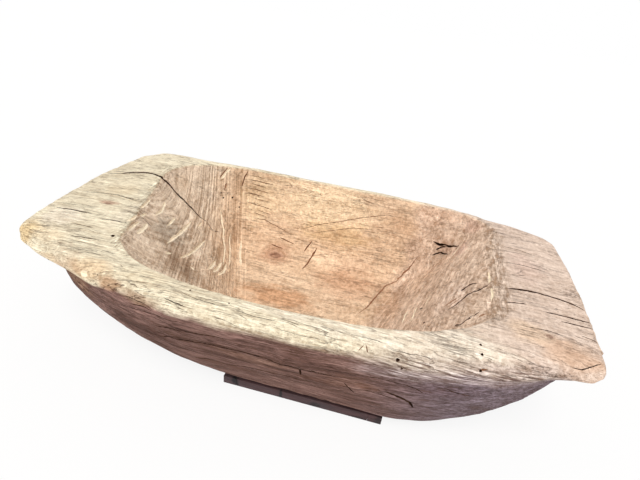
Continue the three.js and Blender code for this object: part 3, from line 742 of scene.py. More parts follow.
    shift = (marks + large + torn - 1.35) * surface.mark_depth + grain * surface.grain_depth
    shift = (shift - thinned * front * bell(arc, -0.004, 0.020)) * whole
    points = points + outward_normals(points) * shift[..., None]
    points = np.clip(points, np.array(BOWL_LOW) + INSET, np.array(BOWL_HIGH) - INSET)
    lip = np.clip(lip_right + 0.9 * lip_left, 0, 1)
    return points, dict(zip(ZONES, (hollow, left, right, hull, lip, ruffle, crackled, grimed,
                                    rubbed, arc, station_x)))


def clear_selection():
    for thing in bpy.context.selected_objects:
        thing.select_set(False)


def only(thing):
    clear_selection()
    thing.hide_set(False)
    thing.select_set(True)
    bpy.context.view_layer.objects.active = thing


def edit_whole(thing, *steps):
    """Selects one object and runs mesh operators on all of it."""
    only(thing)
    bpy.ops.object.mode_set(mode="EDIT")
    bpy.ops.mesh.select_all(action="SELECT")
    for step, settings in steps:
        step(**settings)
    bpy.ops.object.mode_set(mode="OBJECT")


def linked(name, data):
    thing = bpy.data.objects.new(name, data)
    bpy.context.scene.collection.objects.link(thing)
    return thing


def wrap_grid(name, points, zones):
    """Lays a grid over the net of points; its side seam and the noses are merged."""
    rings, around = points.shape[:2]
    clear_selection()
    bpy.ops.mesh.primitive_grid_add(x_subdivisions=rings - 1, y_subdivisions=around, size=1)
    body = bpy.context.active_object
    body.name = body.data.name = name
    wrapped = np.concatenate([points, points[:, :1]], axis=1)
    body.data.vertices.foreach_set("co", wrapped.transpose(1, 0, 2).ravel())
    for zone, values in zones.items():
        layer = body.data.attributes.new(zone, "FLOAT", "POINT")
        closed = np.concatenate([values, values[:, :1]], axis=1)
        layer.data.foreach_set("value", closed.T.ravel().astype(np.float32))
    edit_whole(body, (bpy.ops.mesh.remove_doubles, {"threshold": 2e-6}))
    return body


def wedge(finder, points, width, depth, random):
    """A thin wedge along a line on the surface, widest in its middle: its points and faces."""
    line = np.array(points, float) * MM
    step = np.linalg.norm(np.diff(line, axis=0), axis=1)
    place = np.concatenate([[0], np.cumsum(step)])
    count = max(4, int(place[-1] / CUT_STEP))
    wanted = np.linspace(0, place[-1], count)
    line = np.stack([np.interp(wanted, place, line[:, k]) for k in range(3)], axis=1)
    found = [finder.find_nearest(Vector(p)) for p in line]
    spots, normals = [f[0] for f in found], [f[1] for f in found]
    vertices, faces = [], []
    for i in range(count):
        before, after = max(i - 1, 0), min(i + 1, count - 1)
        ahead = spots[after] - spots[before]
        normal = (normals[before] + normals[i] + normals[after]).normalized()
        across = normal.cross(ahead).normalized()
        along = i / (count - 1)
        body = min(1.0, 0.22 + 5.0 * along * (1 - along)) * random.uniform(0.72, 1.2)
        half = width * MM / 2 * body
        middle = spots[i] + across * random.uniform(-0.35, 0.35) * MM
        spread = across * (half * (1 + CUT_LIFT / (depth * MM * body + 0.001)))
        above = middle + normal * CUT_LIFT
        vertices += [above + spread, above - spread, middle - normal * depth * MM * body]
        if i:
            a, b = 3 * (i - 1), 3 * i
            faces += [(a, a + 1, b + 1, b), (a + 1, a + 2, b + 2, b + 1), (a + 2, a, b, b + 2)]
    last = 3 * (count - 1)
    faces += [(2, 1, 0), (last, last + 1, last + 2)]
    return vertices, faces


def cone(finder, point, radius, depth):
    """A small round hole that narrows inwards."""
    spot, normal, _, _ = finder.find_nearest(Vector(point) * MM)
    side = normal.orthogonal().normalized()
    other = normal.cross(side)
    sides = 9
    vertices = [spot - normal * depth * MM]
    for i in range(sides):
        angle = 2 * math.pi * i / sides
        out = side * math.cos(angle) + other * math.sin(angle)
        out = out * radius * MM * (1 + 0.15 * math.sin(3 * angle))
        vertices.append(spot + normal * 0.0015 + out)
    faces = [tuple(range(1, sides + 1))]
    faces += [(0, 1 + (i + 1) % sides, 1 + i) for i in range(sides)]
    return vertices, faces


def cut(body, shapes, material):
    """Cuts the shapes out of the bowl; the walls of the cuts get the material."""
    vertices, faces = [], []
    for more, sides in shapes:
        start = len(vertices)
        vertices += [tuple(v) for v in more]
        faces += [tuple(start + k for k in side) for side in sides]
    mesh = bpy.data.meshes.new("cutters")
    mesh.from_pydata(vertices, [], faces)
    mesh.materials.append(bpy.data.materials[material])
    cutter = linked("cutters", mesh)
    edit_whole(cutter, (bpy.ops.mesh.normals_make_consistent, {"inside": False}))
    only(body)
    change = body.modifiers.new("cuts", "BOOLEAN")
    change.operation, change.solver = "DIFFERENCE", "MANIFOLD"
    change.material_mode = "TRANSFER"
    change.object = cutter
    before = len(body.data.polygons)
    bpy.ops.object.modifier_apply(modifier=change.name)
    if len(body.data.polygons) < before:
        raise RuntimeError("the cuts could not be made")
    bpy.data.objects.remove(cutter)


def cut_cracks(body, widening):
    """Cuts the cracks, holes, grooves and strokes; the zones of the cut body stay as they were."""
    finder = BVHTree.FromObject(body, bpy.context.evaluated_depsgraph_get())
    random = np.random.RandomState(7)
    known = {name: np.empty(len(body.data.vertices), np.float32) for name in ZONES}
    for name, values in known.items():
        body.data.attributes[name].data.foreach_get("value", values)
    places = KDTree(len(body.data.vertices))
    for vertex in body.data.vertices:
        places.insert(vertex.co, vertex.index)
    places.balance()

    cracks, grooves, strokes = (
        [wedge(finder, points, width * wider, depth, random) for width, depth, points in rows]
        for rows, wider in ((CRACKS, widening), (GROOVES, 1.0), (STROKES, STROKE_WIDENING)))
    cracks += [cone(finder, *hole) for hole in HOLES]
    cut(body, strokes, "Fresh cut wood")
    cut(body, grooves, "Grimed groove")
    cut(body, cracks, "Dark crack")

    nearest = np.array([places.find(vertex.co)[1] for vertex in body.data.vertices])
    for name, values in known.items():
        body.data.attributes[name].data.foreach_set("value", values[nearest])


class Wire:
    """An output of a shader node; sums and products of wires become maths nodes."""

    def __init__(self, tree, socket):
        self.tree, self.socket = tree, socket

    def maths(self, operation, other=0.0, clamp=False):
        return put(self.tree, "ShaderNodeMath", {0: self, 1: other},
                   operation=operation, use_clamp=clamp)

    def __add__(self, other):
        return self.maths("ADD", other)

    def __sub__(self, other):
        return self.maths("SUBTRACT", other)

    def __rsub__(self, other):
        return put(self.tree, "ShaderNodeMath", {0: other, 1: self}, operation="SUBTRACT")

    def __mul__(self, other):
        return self.maths("MULTIPLY", other)

    def __truediv__(self, other):
        return self.maths("DIVIDE", other)

    __radd__, __rmul__ = __add__, __mul__

    def vector(self, operation, other=(0.0, 0.0, 0.0), out=0):
        return put(self.tree, "ShaderNodeVectorMath", {0: self, 1: other}, out,
                   operation=operation)

    def parts(self):
        """X, Y and Z of a place."""
        node = self.tree.nodes.new("ShaderNodeSeparateXYZ")
        feed(node.inputs[0], self)
        return [Wire(self.tree, part) for part in node.outputs]

    def noise(self, scale, detail=2.0, roughness=0.5, distortion=0.0):
        """Noise at this place; its bumps are longer where scale is lower."""
        return put(self.tree, "ShaderNodeTexNoise", {
            "Vector": self.vector("MULTIPLY", scale), "Scale": 1.0, "Detail": detail,
            "Roughness": roughness, "Distortion": distortion})

    def ranged(self, low, high, to_low=0.0, to_high=1.0, smooth=False):
        """Turns low into to_low and high into to_high, and stays at them beyond."""
        return put(self.tree, "ShaderNodeMapRange",
                   {0: self, 1: low, 2: high, 3: to_low, 4: to_high},
                   interpolation_type="SMOOTHSTEP" if smooth else "LINEAR")

    def swing(self, low=0.36, high=0.64):
        """A noise spread out from -0.5 to 0.5."""
        return self.ranged(low, high) - 0.5

    def line(self, level, width):
        """1 along the line where this crosses level, 0 beside it."""
        return (self - level).maths("ABSOLUTE").ranged(0.0, width, 1.0, 0.0)

    def blend(self, a, b):
        """The colour a where this is 0, b where it is 1."""
        return put(self.tree, "ShaderNodeMix", {0: self, 6: a, 7: b}, 2, data_type="RGBA")

    def tinted(self, tint):
        """This colour times another one."""
        return put(self.tree, "ShaderNodeMix", {0: 1.0, 6: self, 7: tint}, 2,
                   data_type="RGBA", blend_type="MULTIPLY")


def feed(socket, value):
    """Fills an input with a wire or with a constant."""
    if isinstance(value, Wire):
        value.tree.links.new(value.socket, socket)
    else:
        opaque = socket.type == "RGBA" and len(value) == 3
        socket.default_value = (*value, 1.0) if opaque else value


def put(tree, kind, inputs=None, out=0, **settings):
    """Adds a node, feeds its inputs and gives one of its outputs."""
    node = tree.nodes.new(kind)
    for key, value in settings.items():
        setattr(node, key, value)
    for key, value in (inputs or {}).items():
        feed(node.inputs[key], value)
    return Wire(tree, node.outputs[out])


def combined(*parts):
    """A place from its X, Y and Z; what is left out is 0."""
    tree = next(part for part in parts if isinstance(part, Wire)).tree
    return put(tree, "ShaderNodeCombineXYZ", dict(enumerate(parts)))


def new_group(name, **inputs):
    """A node group that takes a place and these inputs; gives its tree and the inputs."""
    tree = bpy.data.node_groups.new(name, "ShaderNodeTree")
    for label, default in {"Place": (0.0, 0.0, 0.0), **inputs}.items():
        kind = "NodeSocketVector" if isinstance(default, tuple) else "NodeSocketFloat"
        socket = tree.interface.new_socket(label.replace("_", " "), in_out="INPUT",
                                           socket_type=kind)
        socket.default_value = default
    given = tree.nodes.new("NodeGroupInput").outputs
    return tree, [Wire(tree, given[i]) for i in range(len(inputs) + 1)]


def close_group(tree, **results):
    """Gives a node group its outputs, all of them values."""
    for label in results:
        tree.interface.new_socket(label, in_out="OUTPUT", socket_type="NodeSocketFloat")
    end = tree.nodes.new("NodeGroupOutput")
    for label, value in results.items():
        feed(end.inputs[label], value)


def use_group(name, place, **inputs):
    """Adds a node group and gives its outputs by name."""
    node = place.tree.nodes.new("ShaderNodeGroup")
    node.node_tree = bpy.data.node_groups[name]
    for key, value in {"Place": place, **inputs}.items():
        feed(node.inputs[key.replace("_", " ")], value)
    return {socket.name: Wire(place.tree, socket) for socket in node.outputs}


def spot(name, place, centre, size, **inputs):
    """A knot or a soft patch, its centre and size in mm."""
    return use_group(name, place, Centre=[v * MM for v in centre],
                     Size=[v * MM for v in size], **inputs)


def log_grain_group():
    """Yearly rings round the log's heart, fibres and checks along it, pores and blotches."""
    tree, (place, heart_y, heart_z, ring_width, swirl) = new_group(
        "Log grain", Heart_Y=0.04, Heart_Z=0.28, Ring_width=0.0055, Swirl=0.0)
    x, y, z = place.parts()
    wobble = place.noise((4.0, 12.0, 12.0))
    fine_wobble = place.noise((22.0, 45.0, 45.0), 1.0)
    dy, dz = y - (heart_y + x * HEART_DRIFT), z - heart_z
    radius = ((dy * dy + dz * dz).maths("SQRT") + (wobble - 0.5) * 0.022
              + (fine_wobble - 0.5) * 0.005 + swirl)
    ring_place = combined(radius / ring_width, x * 2.5, y * 2.5)
    aside = wobble * 0.05
    bent = place.vector("ADD", combined(0.0, aside, aside))
    coarse = (bent.noise((7.0, 95.0, 95.0), 3.0, 0.6).line(0.5, 0.016)
              * place.noise((14.0, 40.0, 40.0)).ranged(0.47, 0.60))
    fine = (bent.noise((16.0, 190.0, 190.0)).line(0.53, 0.020)
            * place.noise((20.0, 60.0, 60.0), 1.0).ranged(0.45, 0.62))
    close_group(
        tree, Rings=ring_place.noise((1.0, 1.0, 1.0), 3.0, 0.75).ranged(0.36, 0.64),
        Fibres=place.noise((22.0, 420.0, 420.0), 3.0, 0.7).ranged(0.36, 0.64),
        Checks=coarse.maths("MAXIMUM", fine * 0.7),
        Pores=place.noise((90.0, 620.0, 620.0)).ranged(0.58, 0.68),
        Blotches=place.noise((9.0, 20.0, 20.0), 5.0, 0.65).ranged(0.36, 0.64))


def distance_from(place, centre, size):
    """0 at the centre and 1 on an ellipsoid of that size."""
    return place.vector("SUBTRACT", centre).vector("DIVIDE", size).vector("LENGTH", out=1)


def knot_group():
    """A knot: a dark core and the rings that bend round it."""
    tree, (place, centre, size) = new_group("Knot", Centre=(0.0, 0.0, 0.0),
                                            Size=(0.02, 0.02, 0.02))
    far = (distance_from(place, centre, size)
           + (place.noise((70.0, 90.0, 90.0), 3.0) - 0.5) * 0.9)
    waves = (far * 14.0).maths("SINE") * far.ranged(0.5, 1.3, 1.0, 0.0, smooth=True)
    close_group(tree, Core=far.ranged(0.30, 0.90, 1.0, 0.0, smooth=True), Rings=waves)


def soft_patch_group():
    """A soft-edged patch round a centre, its edge broken up by noise."""
    tree, (place, centre, size, raggedness) = new_group(
        "Stain", Centre=(0.0, 0.0, 0.0), Size=(0.05, 0.05, 0.05), Raggedness=0.5)
    far = (distance_from(place, centre, size)
           + (place.noise((30.0, 70.0, 70.0), 4.0) - 0.5) * (raggedness * 2.0))
    close_group(tree, Mask=far.ranged(0.3, 1.0, 1.0, 0.0, smooth=True))


def new_material(name, roughness, shine):
    """A material; gives the inputs of its shader and the place on the object."""
    material = bpy.data.materials.new(name)
    material.use_nodes = True
    tree = material.node_tree
    shader = next(n for n in tree.nodes if n.type == "BSDF_PRINCIPLED").inputs
    feed(shader["Roughness"], roughness)
    feed(shader["Specular IOR Level"], shine)
    return shader, Wire(tree, tree.nodes.new("ShaderNodeTexCoord").outputs["Object"])


def bumped(shader, height, strength, distance):
    """Roughens a material by a height."""
    feed(shader["Normal"], put(height.tree, "ShaderNodeBump", {
        "Height": height, "Strength": strength, "Distance": distance}))


def scaled(colour, amount):
    return tuple(v * amount for v in colour)


def bowl_material(colours):
    """The bowl's wood: its zones' colours and patches, then the grain, the wear, the painted light
    and shade of the rolled front, and the pores.
    """
    shader, place = new_material("Bare weathered wood", 0.78, 0.16)
    swirls = 0.0
    for centre, size, amount in SWIRLS:
        swirls = swirls + spot("Stain", place, centre, size, Raggedness=0.0)["Mask"] * amount
    grain = use_group("Log grain", place, Swirl=swirls)
    hollow, left, right, hull, lip, ruffle, crackled, grimed, rubbed, arc, station = (
        put(place.tree, "ShaderNodeAttribute", out=2, attribute_name=name) for name in ZONES)
    x, y, _ = place.parts()
    to_right = x.ranged(0.05, 0.33, smooth=True)
    colour = to_right.blend(colours["ledge_left"], colours["ledge_right"])
    # The outside below the rim: its darker colour is partly its own tone, partly painted shade.
    outside = x.ranged(0.10, 0.27, smooth=True).blend(colours["hull"], colours["hull_right"])
    for zone, own in ((hull, outside), (hollow, colours["floor"]),
                      (left, colours["left_wall"]), (right, colours["right_wall"])):
        colour = zone.blend(colour, own)
    sides = {"hollow": hollow, "outside": 1.0 - hollow}
    for centre, size, patch_colour, strength, side in STAINS_AND_PAINTED_LIGHT:
        mask = spot("Stain", place, centre, size, Raggedness=0.6)["Mask"] * sides[side]
        colour = (mask * strength).blend(colour, linear(*patch_colour))

    turned = put(place.tree, "ShaderNodeMapping",
                 {"Vector": place, "Rotation": (0.0, 0.0, math.radians(18))},
                 vector_type="POINT")
    torn = turned.noise((190.0, 9.0, 130.0), 4.0, 0.65, 0.2).swing()
    crumbled = place.noise((170.0, 110.0, 140.0), 4.0, 0.7).swing(0.38, 0.62)
    strips = combined(station, y).noise((300.0, 7.0, 1.0), 3.0, 0.6).swing()
    folded = (hollow * station.ranged(-0.262, -0.205, smooth=True)
              * station.ranged(-0.082, -0.125, smooth=True))
    drifted = arc + x * 0.20 + place.noise((16.0, 34.0, 34.0), 3.0) * 0.010
    ridges = combined(x, drifted).noise((28.0, 290.0, 1.0), 2.0, 0.6, 0.4).swing(0.38, 0.62)
    strands = place.noise((260.0, 42.0, 150.0), 4.0, 0.7, 0.3).swing(0.38, 0.62)
    patches = place.noise((24.0, 30.0, 30.0), 1.0, 0.5, 0.5).ranged(0.46, 0.54)
    streaks = place.noise((8.0, 130.0, 130.0), 4.0, 0.65).swing()
    detail = 0.5
    for value, amount in (
            (grain["Rings"] - 0.5,
             0.14 + left * 0.36 + right * 0.06 + hull * 0.28 + hollow * 0.06),
            (grain["Fibres"] - 0.5, 0.46 - hollow * 0.26 + hull * 0.40 - to_right * 0.22),
            (grain["Blotches"] - 0.5,
             0.24 + hull * 0.20 + hollow * 0.08 - to_right * 0.06 - crackled * 0.10),
            (torn, right * 0.30 + right * patches * 0.34 + left * 0.10),
            (patches - 0.5, right * 0.16),
            (strips, folded * 0.70 + left * 0.12),
            (ridges, ruffle * 0.85 + hull * 0.20),
            (strands, lip * 0.90),
            (streaks, 0.10 + hull * 0.60 - hollow * 0.06 - to_right * 0.04),
            (crumbled, 0.16 + lip * 0.30 + hollow * 0.24 + right * 0.06 + crackled * 0.24
             + to_right * 0.12)):
        detail = detail + value * amount
    ripple_light_and_shade = ridges * ruffle
    # The right lip's own paler colour, then the painted shade and painted light of the rolled
    # front shoulder.
    for mask, wear in ((lip * to_right * 0.6, (230, 204, 182)),
                       (grimed * 0.28, (142, 126, 130)),
                       (rubbed * 0.80, (196, 178, 180)),
                       # Painted highlights on the ripples' ridges and painted shadow in their
                       # hollows, on top of their bump.
                       (ripple_light_and_shade.maths("MULTIPLY", 1.2, clamp=True), (236, 222, 214)),
                       (ripple_light_and_shade.maths("MULTIPLY", -1.6, clamp=True), (116, 90, 90))):
        colour = mask.blend(colour, linear(*wear))
    lines = (place.noise((8.0, 165.0, 165.0), 3.0, 0.6).line(0.5, 0.055)
             * place.noise((14.0, 32.0, 32.0), 1.0).ranged(0.36, 0.50)
             * hull.maths("SUBTRACT", rubbed, clamp=True))
    core = 0.0
    for centre, size in KNOTS:
        knot = spot("Knot", place, centre, size)
        detail = detail + knot["Rings"] * 0.20
        core = knot["Core"].maths("MAXIMUM", core)
    detail = detail.maths("ADD", clamp=True)
    check_amount = (0.72 - hollow * 0.47 - left * 0.10 + hull * 0.18 + crackled * 0.25
                    - to_right * 0.25)
    colour = detail.blend(colour.tinted((0.56, 0.47, 0.40)), colour.tinted((1.30, 1.31, 1.32)))
    colour = (lines * 0.85).blend(colour, colour.tinted((0.42, 0.36, 0.34)))
    colour = (grain["Checks"] * check_amount).blend(colour, colours["check"])
    colour = (core * 0.75).blend(colour, colour.tinted((0.42, 0.33, 0.32)))
    colour = (grain["Pores"] * (0.30 + hull * 0.30)).blend(
        colour, colour.tinted((0.42, 0.33, 0.27)))
    feed(shader["Base Color"], colour)
    feed(shader["Roughness"], grain["Fibres"].ranged(0.0, 1.0, 0.70, 0.88))
    bumped(shader, detail - grain["Checks"] * 0.9 - grain["Pores"] * 0.3, 0.9, 0.0022)


def plain_material(name, gloss, texture, spread, tints, bump=None):
    """Two colours mingled by one noise. gloss: roughness and shine; bump: strength, distance."""
    shader, place = new_material(name, *gloss)
    grain = place.noise(*texture)
    feed(shader["Base Color"], grain.ranged(*spread).blend(*tints))
    if bump:
        bumped(shader, grain, *bump)


def stand_material(colours):
    """Dark stained wood with its scars."""
    shader, place = new_material("Dark stained wood", 0.55, 0.35)
    grain = use_group("Log grain", place, Ring_width=0.004)
    dark = colours["stand_dark"]
    fine = place.noise((30.0, 260.0, 260.0), 4.0, 0.65).ranged(0.38, 0.62)
    colour = (grain["Rings"] * 0.6).blend(colours["stand"], dark)
    colour = (grain["Blotches"] * 0.4).blend(colour, colours["stand_red"])
    colour = (fine * 0.35).blend(colour, scaled(dark, 0.45))
    for centre, size, strength in STAND_MARKS:
        mask = spot("Stain", place, centre, size, Raggedness=0.5)["Mask"]
        colour = (mask * strength).blend(colour, scaled(dark, 0.3))
    colour = (grain["Checks"] * 0.6).blend(colour, scaled(dark, 0.3))
    feed(shader["Base Color"], colour)
    feed(shader["Roughness"], grain["Blotches"].ranged(0.0, 1.0, 0.48, 0.68))
    bumped(shader, grain["Fibres"] + fine * 0.6 - grain["Checks"] * 0.8, 0.5, 0.0009)


def size(name, description, default):
    return bpy.props.FloatProperty(name=name, description=description, default=default,
                                   min=0.0, unit="LENGTH", subtype="DISTANCE", precision=4)


def tint(name, description, *rgb):
    return bpy.props.FloatVectorProperty(name=name, description=description,
                                         subtype="COLOR_GAMMA", size=3, min=0.0, max=1.0,
                                         default=tuple(v / 255 for v in rgb))


class BowlSizes(bpy.types.PropertyGroup):
    """The bowl's main measures."""
    length: size("Length", "Tip to tip along the log", 0.847)
    width: size("Width", "Across the bulging sides", 0.466)
    widest: bpy.props.FloatProperty(
        name="Widest place", description="Where the sides bulge most",
        default=-0.096, unit="LENGTH")
    left_front_reach: size("Left front reach",
                           "Middle line to the left ledge's front corner", 0.152)
    left_back_reach: size("Left back reach", "Middle line to the left ledge's back corner", 0.211)
    right_front_reach: size("Right front reach",
                            "Middle line to the right ledge's front corner", 0.168)
    right_back_reach: size("Right back reach",
                           "Middle line to the right ledge's back corner", 0.182)
    left_bow: size("Left bow", "How far the left end is bowed", 0.027)
    right_bow: size("Right bow", "How far the right end is bowed", 0.014)
    corner_radius: size("Corner radius", "The ledges' worn corners", 0.024)
    nose: size("Nose", "Rounding of the ledges' end faces", 0.009)
    ledge_thickness: size("Ledge thickness", "At the ledges' tips", 0.024)
    left_droop: size("Left droop", "How far the left tip lies below the rim", 0.010)
    right_droop: size("Right droop", "How far the right tip lies below the rim", 0.007)
    left_overhang: size("Left overhang", "Ledge standing out past the hull", 0.086)
    right_overhang: size("Right overhang", "Ledge standing out past the hull", 0.054)
    left_ledge: size("Left ledge", "Tip to the hollow's edge", 0.139)
    right_ledge: size("Right ledge", "Tip to the hollow's edge", 0.116)
    shoulder_drop: size("Shoulder drop", "Crest down to the widest line", 0.023)
    ledge_shoulder_drop: size("Ledge shoulder drop", "The same at the tips", 0.011)
    rim_round: size("Rim rounding", "Width of the rim's rounding", 0.030)
    bottom_width: size("Bottom width", "Flat underside, across", 0.306)
    keel_left: size("Keel left", "Middle to where the underside rises", 0.041)
    keel_right: size("Keel right", "Middle to where the underside rises", 0.169)
    ledge_fillet: size("Ledge fillet", "Under the ledges", 0.014)
    bilge: size("Bilge", "Rounding between side and underside", 0.016)
    belly: size("Belly", "How far the sides swell", 0.007)
    ledge_edge: size("Ledge edge", "The ledges' undersides are narrower by this", 0.020)
    hollow_front: size("Hollow front", "Middle line to the hollow's front edge", 0.193)
    hollow_back: size("Hollow back", "Middle line to the hollow's back edge", 0.208)
    floor_thickness: size("Floor thickness", "Wood under the hollow", 0.042)
    left_wall: size("Left wall", "Edge to foot of the left end wall", 0.165)
    right_wall: size("Right wall", "Edge to foot of the right end wall", 0.195)
    side_wall: size("Side wall", "Edge to foot of the long walls", 0.066)


class BowlSurface(bpy.types.PropertyGroup):
    """How roughly the wood is worked and how much it has weathered."""
    mark_depth: size("Tool mark depth", "Depth of the gouge and chisel marks", 0.0010)
    grain_depth: size("Grain depth", "How far the soft grain has worn back", 0.0009)
    crack_width: bpy.props.FloatProperty(
        name="Crack width", description="1 leaves the cracks as they are",
        default=1.0, min=0.2, max=3.0)


class BowlColours(bpy.types.PropertyGroup):
    """The wood's colours, zone by zone."""
    ledge_left: tint("Left ledge", "Sun-bleached wood", 255, 245, 218)
    ledge_right: tint("Right ledge", "Bleached wood, pinker", 236, 215, 199)
    floor: tint("Floor", "The hollow's floor and long walls", 245, 216, 185)
    left_wall: tint("Left wall", "Greyed end wall", 238, 218, 195)
    right_wall: tint("Right wall", "Torn end wall", 239, 212, 189)
    # The outside's colours are darker partly as the wood's own weathered tone and partly as
    # painted shade of the undercut front.
    hull: tint("Hull", "The outside below the rim", 149, 116, 107)
    hull_right: tint("Hull, right", "The paler, greyer end of the outside", 146, 130, 139)
    check: tint("Checks", "Fine cracks along the grain", 112, 78, 60)
    # Inside cracks and holes the colour is near black: painted shade.
    crack: tint("Cracks", "Inside cracks and holes", 58, 40, 32)
    # Inside grooves the colour is darker brown: painted shade.
    groove: tint("Grooves", "Inside worn grooves", 148, 110, 84)
    stroke: tint("Gouge strokes", "Fresh wood in the light strokes", 255, 238, 210)
    stand: tint("Stand", "Dark stained wood", 86, 66, 70)
    stand_dark: tint("Stand grain", "Darker grain lines", 54, 40, 44)
    stand_red: tint("Stand wear", "Where the stain has worn", 104, 66, 60)
    peg: tint("Pegs", "Bare end grain", 120, 92, 74)


class StageSettings(bpy.types.PropertyGroup):
    """Light, floor and camera."""
    sun_strength: bpy.props.FloatProperty(
        name="Lamp", description="Strength of the high lamp", default=2.12, min=0.0)
    sky_strength: bpy.props.FloatProperty(
        name="Room light", description="Strength of the even light", default=0.56, min=0.0)
    lens: bpy.props.FloatProperty(
        name="Lens", description="Focal length", default=25.99, subtype="DISTANCE_CAMERA")


class BOWL_OT_finishes(bpy.types.Operator):
    """Makes the materials and the node groups that they share"""
    bl_idname = "bowl.finishes"
    bl_label = "Make the finishes"

    def execute(self, context):
        log_grain_group()
        knot_group()
        soft_patch_group()
        group = context.scene.bowl_colours
        colours = {name: linear(*(v * 255 for v in getattr(group, name)))
                   for name in group.__annotations__}
        crack, groove, fresh, peg = (colours[n] for n in ("crack", "groove", "stroke", "peg"))
        bowl_material(colours)
        # Walls of the cracks and holes: painted shade, mingled with a dusty brown.
        plain_material("Dark crack", (0.95, 0.05), ((220.0,) * 3, 3.0), (0.35, 0.70),
                       (crack, linear(98, 70, 54)))
        # Walls of the worn grooves: painted shade.
        plain_material("Grimed groove", (0.9, 0.1), ((160.0,) * 3, 4.0, 0.7), (0.35, 0.65),
                       (groove, scaled(groove, 1.45)), (0.6, 0.001))
        plain_material("Fresh cut wood", (0.8, 0.15), ((60.0, 300.0, 300.0), 3.0, 0.6),
                       (0.35, 0.65), (scaled(fresh, 0.72), fresh), (0.5, 0.0008))
        stand_material(colours)
        plain_material("Peg end grain", (0.7, 0.25), ((900.0,) * 3, 3.0), (0.35, 0.65),
                       (peg, scaled(peg, 0.55)))
        return {"FINISHED"}


class BOWL_OT_body(bpy.types.Operator):
    """Hews the bowl from its measures, cuts its cracks and gives it its wood"""
    bl_idname = "bowl.body"
    bl_label = "Hew the bowl"

    def execute(self, context):
        surface = context.scene.bowl_surface
        points, zones = bowl_net(HewnForm(context.scene.bowl_sizes), surface)
        body = wrap_grid("hewn_bowl", points, zones)
        body.data.materials.append(bpy.data.materials["Bare weathered wood"])
        cut_cracks(body, surface.crack_width)
        only(body)
        bpy.ops.object.shade_smooth_by_angle(angle=math.radians(38))
        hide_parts("bowl_body")
        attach(body, "bowl")
        return {"FINISHED"}


def worn_copy(node, width, material):
    """A copy of a CAD piece with its corners joined and its edges rounded by wear."""
    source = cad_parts[node]
    mesh = source.data.copy()
    mesh.transform(source.matrix_world)
    mesh.materials.clear()
    piece = linked("worn_" + node, mesh)
    edit_whole(piece, (bpy.ops.mesh.remove_doubles, {"threshold": 1e-6}),
               (bpy.ops.mesh.dissolve_limited, {"angle_limit": math.radians(1)}))
    edges = piece.modifiers.new("wear", "BEVEL")
    edges.width, edges.segments, edges.limit_method = width, 3, "ANGLE"
    edges.angle_limit = math.radians(40)
    bpy.ops.object.modifier_apply(modifier=edges.name)
    bpy.ops.object.shade_smooth_by_angle(angle=math.radians(40))
    mesh.materials.append(bpy.data.materials[material])
    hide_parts(node)
    return piece


class BOWL_OT_stand(bpy.types.Operator):
    """Gives the stand's bars and pegs their worn edges and dark wood"""
    bl_idname = "bowl.stand"
    bl_label = "Make the stand"

    def execute(self, context):
        for node in STAND_BARS:
            bar = worn_copy(node, BAR_WEAR, "Dark stained wood")
            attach(bar, "stand")
        for node in STAND_PEGS:
            peg = worn_copy(node, PEG_WEAR, "Peg end grain")
            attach(peg, "stand")
        return {"FINISHED"}


def seen_rays(tree):
    """1 for rays that come from the camera, a mirroring or a clear surface, 0 for the rest."""
    rays = tree.nodes.new("ShaderNodeLightPath").outputs
    camera, glossy, clear = (Wire(tree, rays[f"Is {kind} Ray"])
                             for kind in ("Camera", "Glossy", "Transmission"))
    return (camera + glossy).maths("ADD", clear, clamp=True)


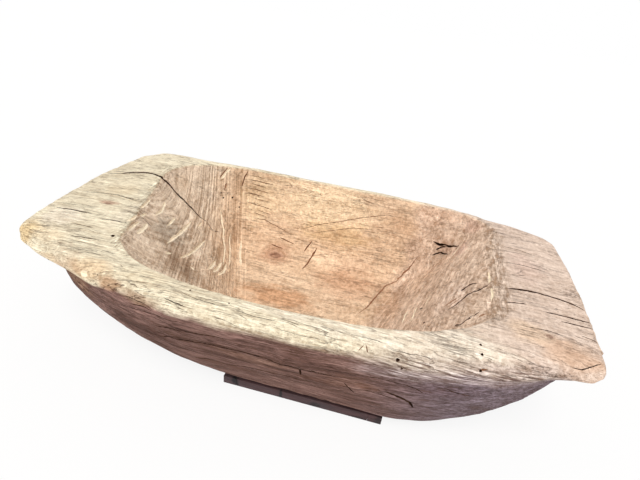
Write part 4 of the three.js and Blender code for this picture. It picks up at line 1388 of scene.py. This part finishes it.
class BOWL_OT_stage(bpy.types.Operator):
    """Sets the floor, the lamps and the camera"""
    bl_idname = "bowl.stage"
    bl_label = "Set the stage"

    def execute(self, context):
        scene, settings = context.scene, context.scene.bowl_stage
        clear_selection()
        bpy.ops.mesh.primitive_plane_add(size=12, location=(0, 0, 0))
        floor = context.active_object
        floor.name = "floor"
        material = bpy.data.materials.new("Pale floor")
        material.use_nodes = True
        tree = material.node_tree
        tree.nodes.clear()
        matt = put(tree, "ShaderNodeBsdfDiffuse", {"Color": linear(246, 244, 242)})
        glow = put(tree, "ShaderNodeEmission", {"Color": (1.0, 1.0, 1.0), "Strength": 1.0})
        mixed = put(tree, "ShaderNodeMixShader",
                    {0: seen_rays(tree) * FLOOR_GLOW, 1: matt, 2: glow})
        feed(tree.nodes.new("ShaderNodeOutputMaterial").inputs["Surface"], mixed)
        floor.data.materials.append(material)

        world = bpy.data.worlds.new("Room")
        world.use_nodes = True
        scene.world = world
        tree = world.node_tree
        background = next(n for n in tree.nodes if n.type == "BACKGROUND").inputs
        feed(background["Color"], (1.0, 1.0, 1.0))
        feed(background["Strength"],
             seen_rays(tree).ranged(0.0, 1.0, settings.sky_strength, 1.0))

        lamp = bpy.data.lights.new("high_lamp", "SUN")
        lamp.energy = settings.sun_strength
        lamp.angle = math.radians(28)
        lamp.color = (1.0, 0.985, 0.96)
        linked("high_lamp", lamp).rotation_euler = LAMP_FROM.to_track_quat("Z", "Y").to_euler()

        camera = bpy.data.cameras.new("camera")
        camera.lens, camera.sensor_width, camera.sensor_fit = settings.lens, 36.0, "HORIZONTAL"
        camera.clip_start, camera.clip_end = 0.01, 30
        eye = linked("camera", camera)
        turn, height, roll = (math.radians(v) for v in CAMERA_ANGLES)
        behind = Vector((math.sin(turn) * math.cos(height), -math.cos(turn) * math.cos(height),
                         math.sin(height)))
        level = (-behind).cross(Vector((0, 0, 1))).normalized()
        up = level.cross(-behind)
        right = math.cos(roll) * level + math.sin(roll) * up
        above = -math.sin(roll) * level + math.cos(roll) * up
        turned = Matrix((right, above, behind)).transposed().to_4x4()
        eye.matrix_world = Matrix.Translation(CAMERA_PLACE) @ turned
        scene.camera = eye
        scene.view_settings.view_transform = "Standard"
        return {"FINISHED"}


class BOWL_PT_panel(bpy.types.Panel):
    """Sizes, colours and the steps that build the bowl"""
    bl_idname = "BOWL_PT_panel"
    bl_label = "Hewn grinding bowl"
    bl_space_type = "VIEW_3D"
    bl_region_type = "UI"
    bl_category = "Bowl"

    def draw(self, context):
        for step in OPERATORS:
            self.layout.operator(step.bl_idname)
        for name in GROUPS:
            group = getattr(context.scene, name)
            box = self.layout.box()
            for field in group.__annotations__:
                box.prop(group, field)


GROUPS = {"bowl_sizes": BowlSizes, "bowl_surface": BowlSurface, "bowl_colours": BowlColours,
          "bowl_stage": StageSettings}
OPERATORS = (BOWL_OT_finishes, BOWL_OT_body, BOWL_OT_stand, BOWL_OT_stage)
CLASSES = (*GROUPS.values(), *OPERATORS, BOWL_PT_panel)


def register():
    for kind in CLASSES:
        bpy.utils.register_class(kind)
    for name, kind in GROUPS.items():
        setattr(bpy.types.Scene, name, bpy.props.PointerProperty(type=kind))


def unregister():
    for name in GROUPS:
        delattr(bpy.types.Scene, name)
    for kind in reversed(CLASSES):
        bpy.utils.unregister_class(kind)


def main():
    register()
    bpy.ops.bowl.finishes()
    bpy.ops.bowl.body()
    bpy.ops.bowl.stand()
    bpy.ops.bowl.stage()


if __name__ == "__main__":
    main()
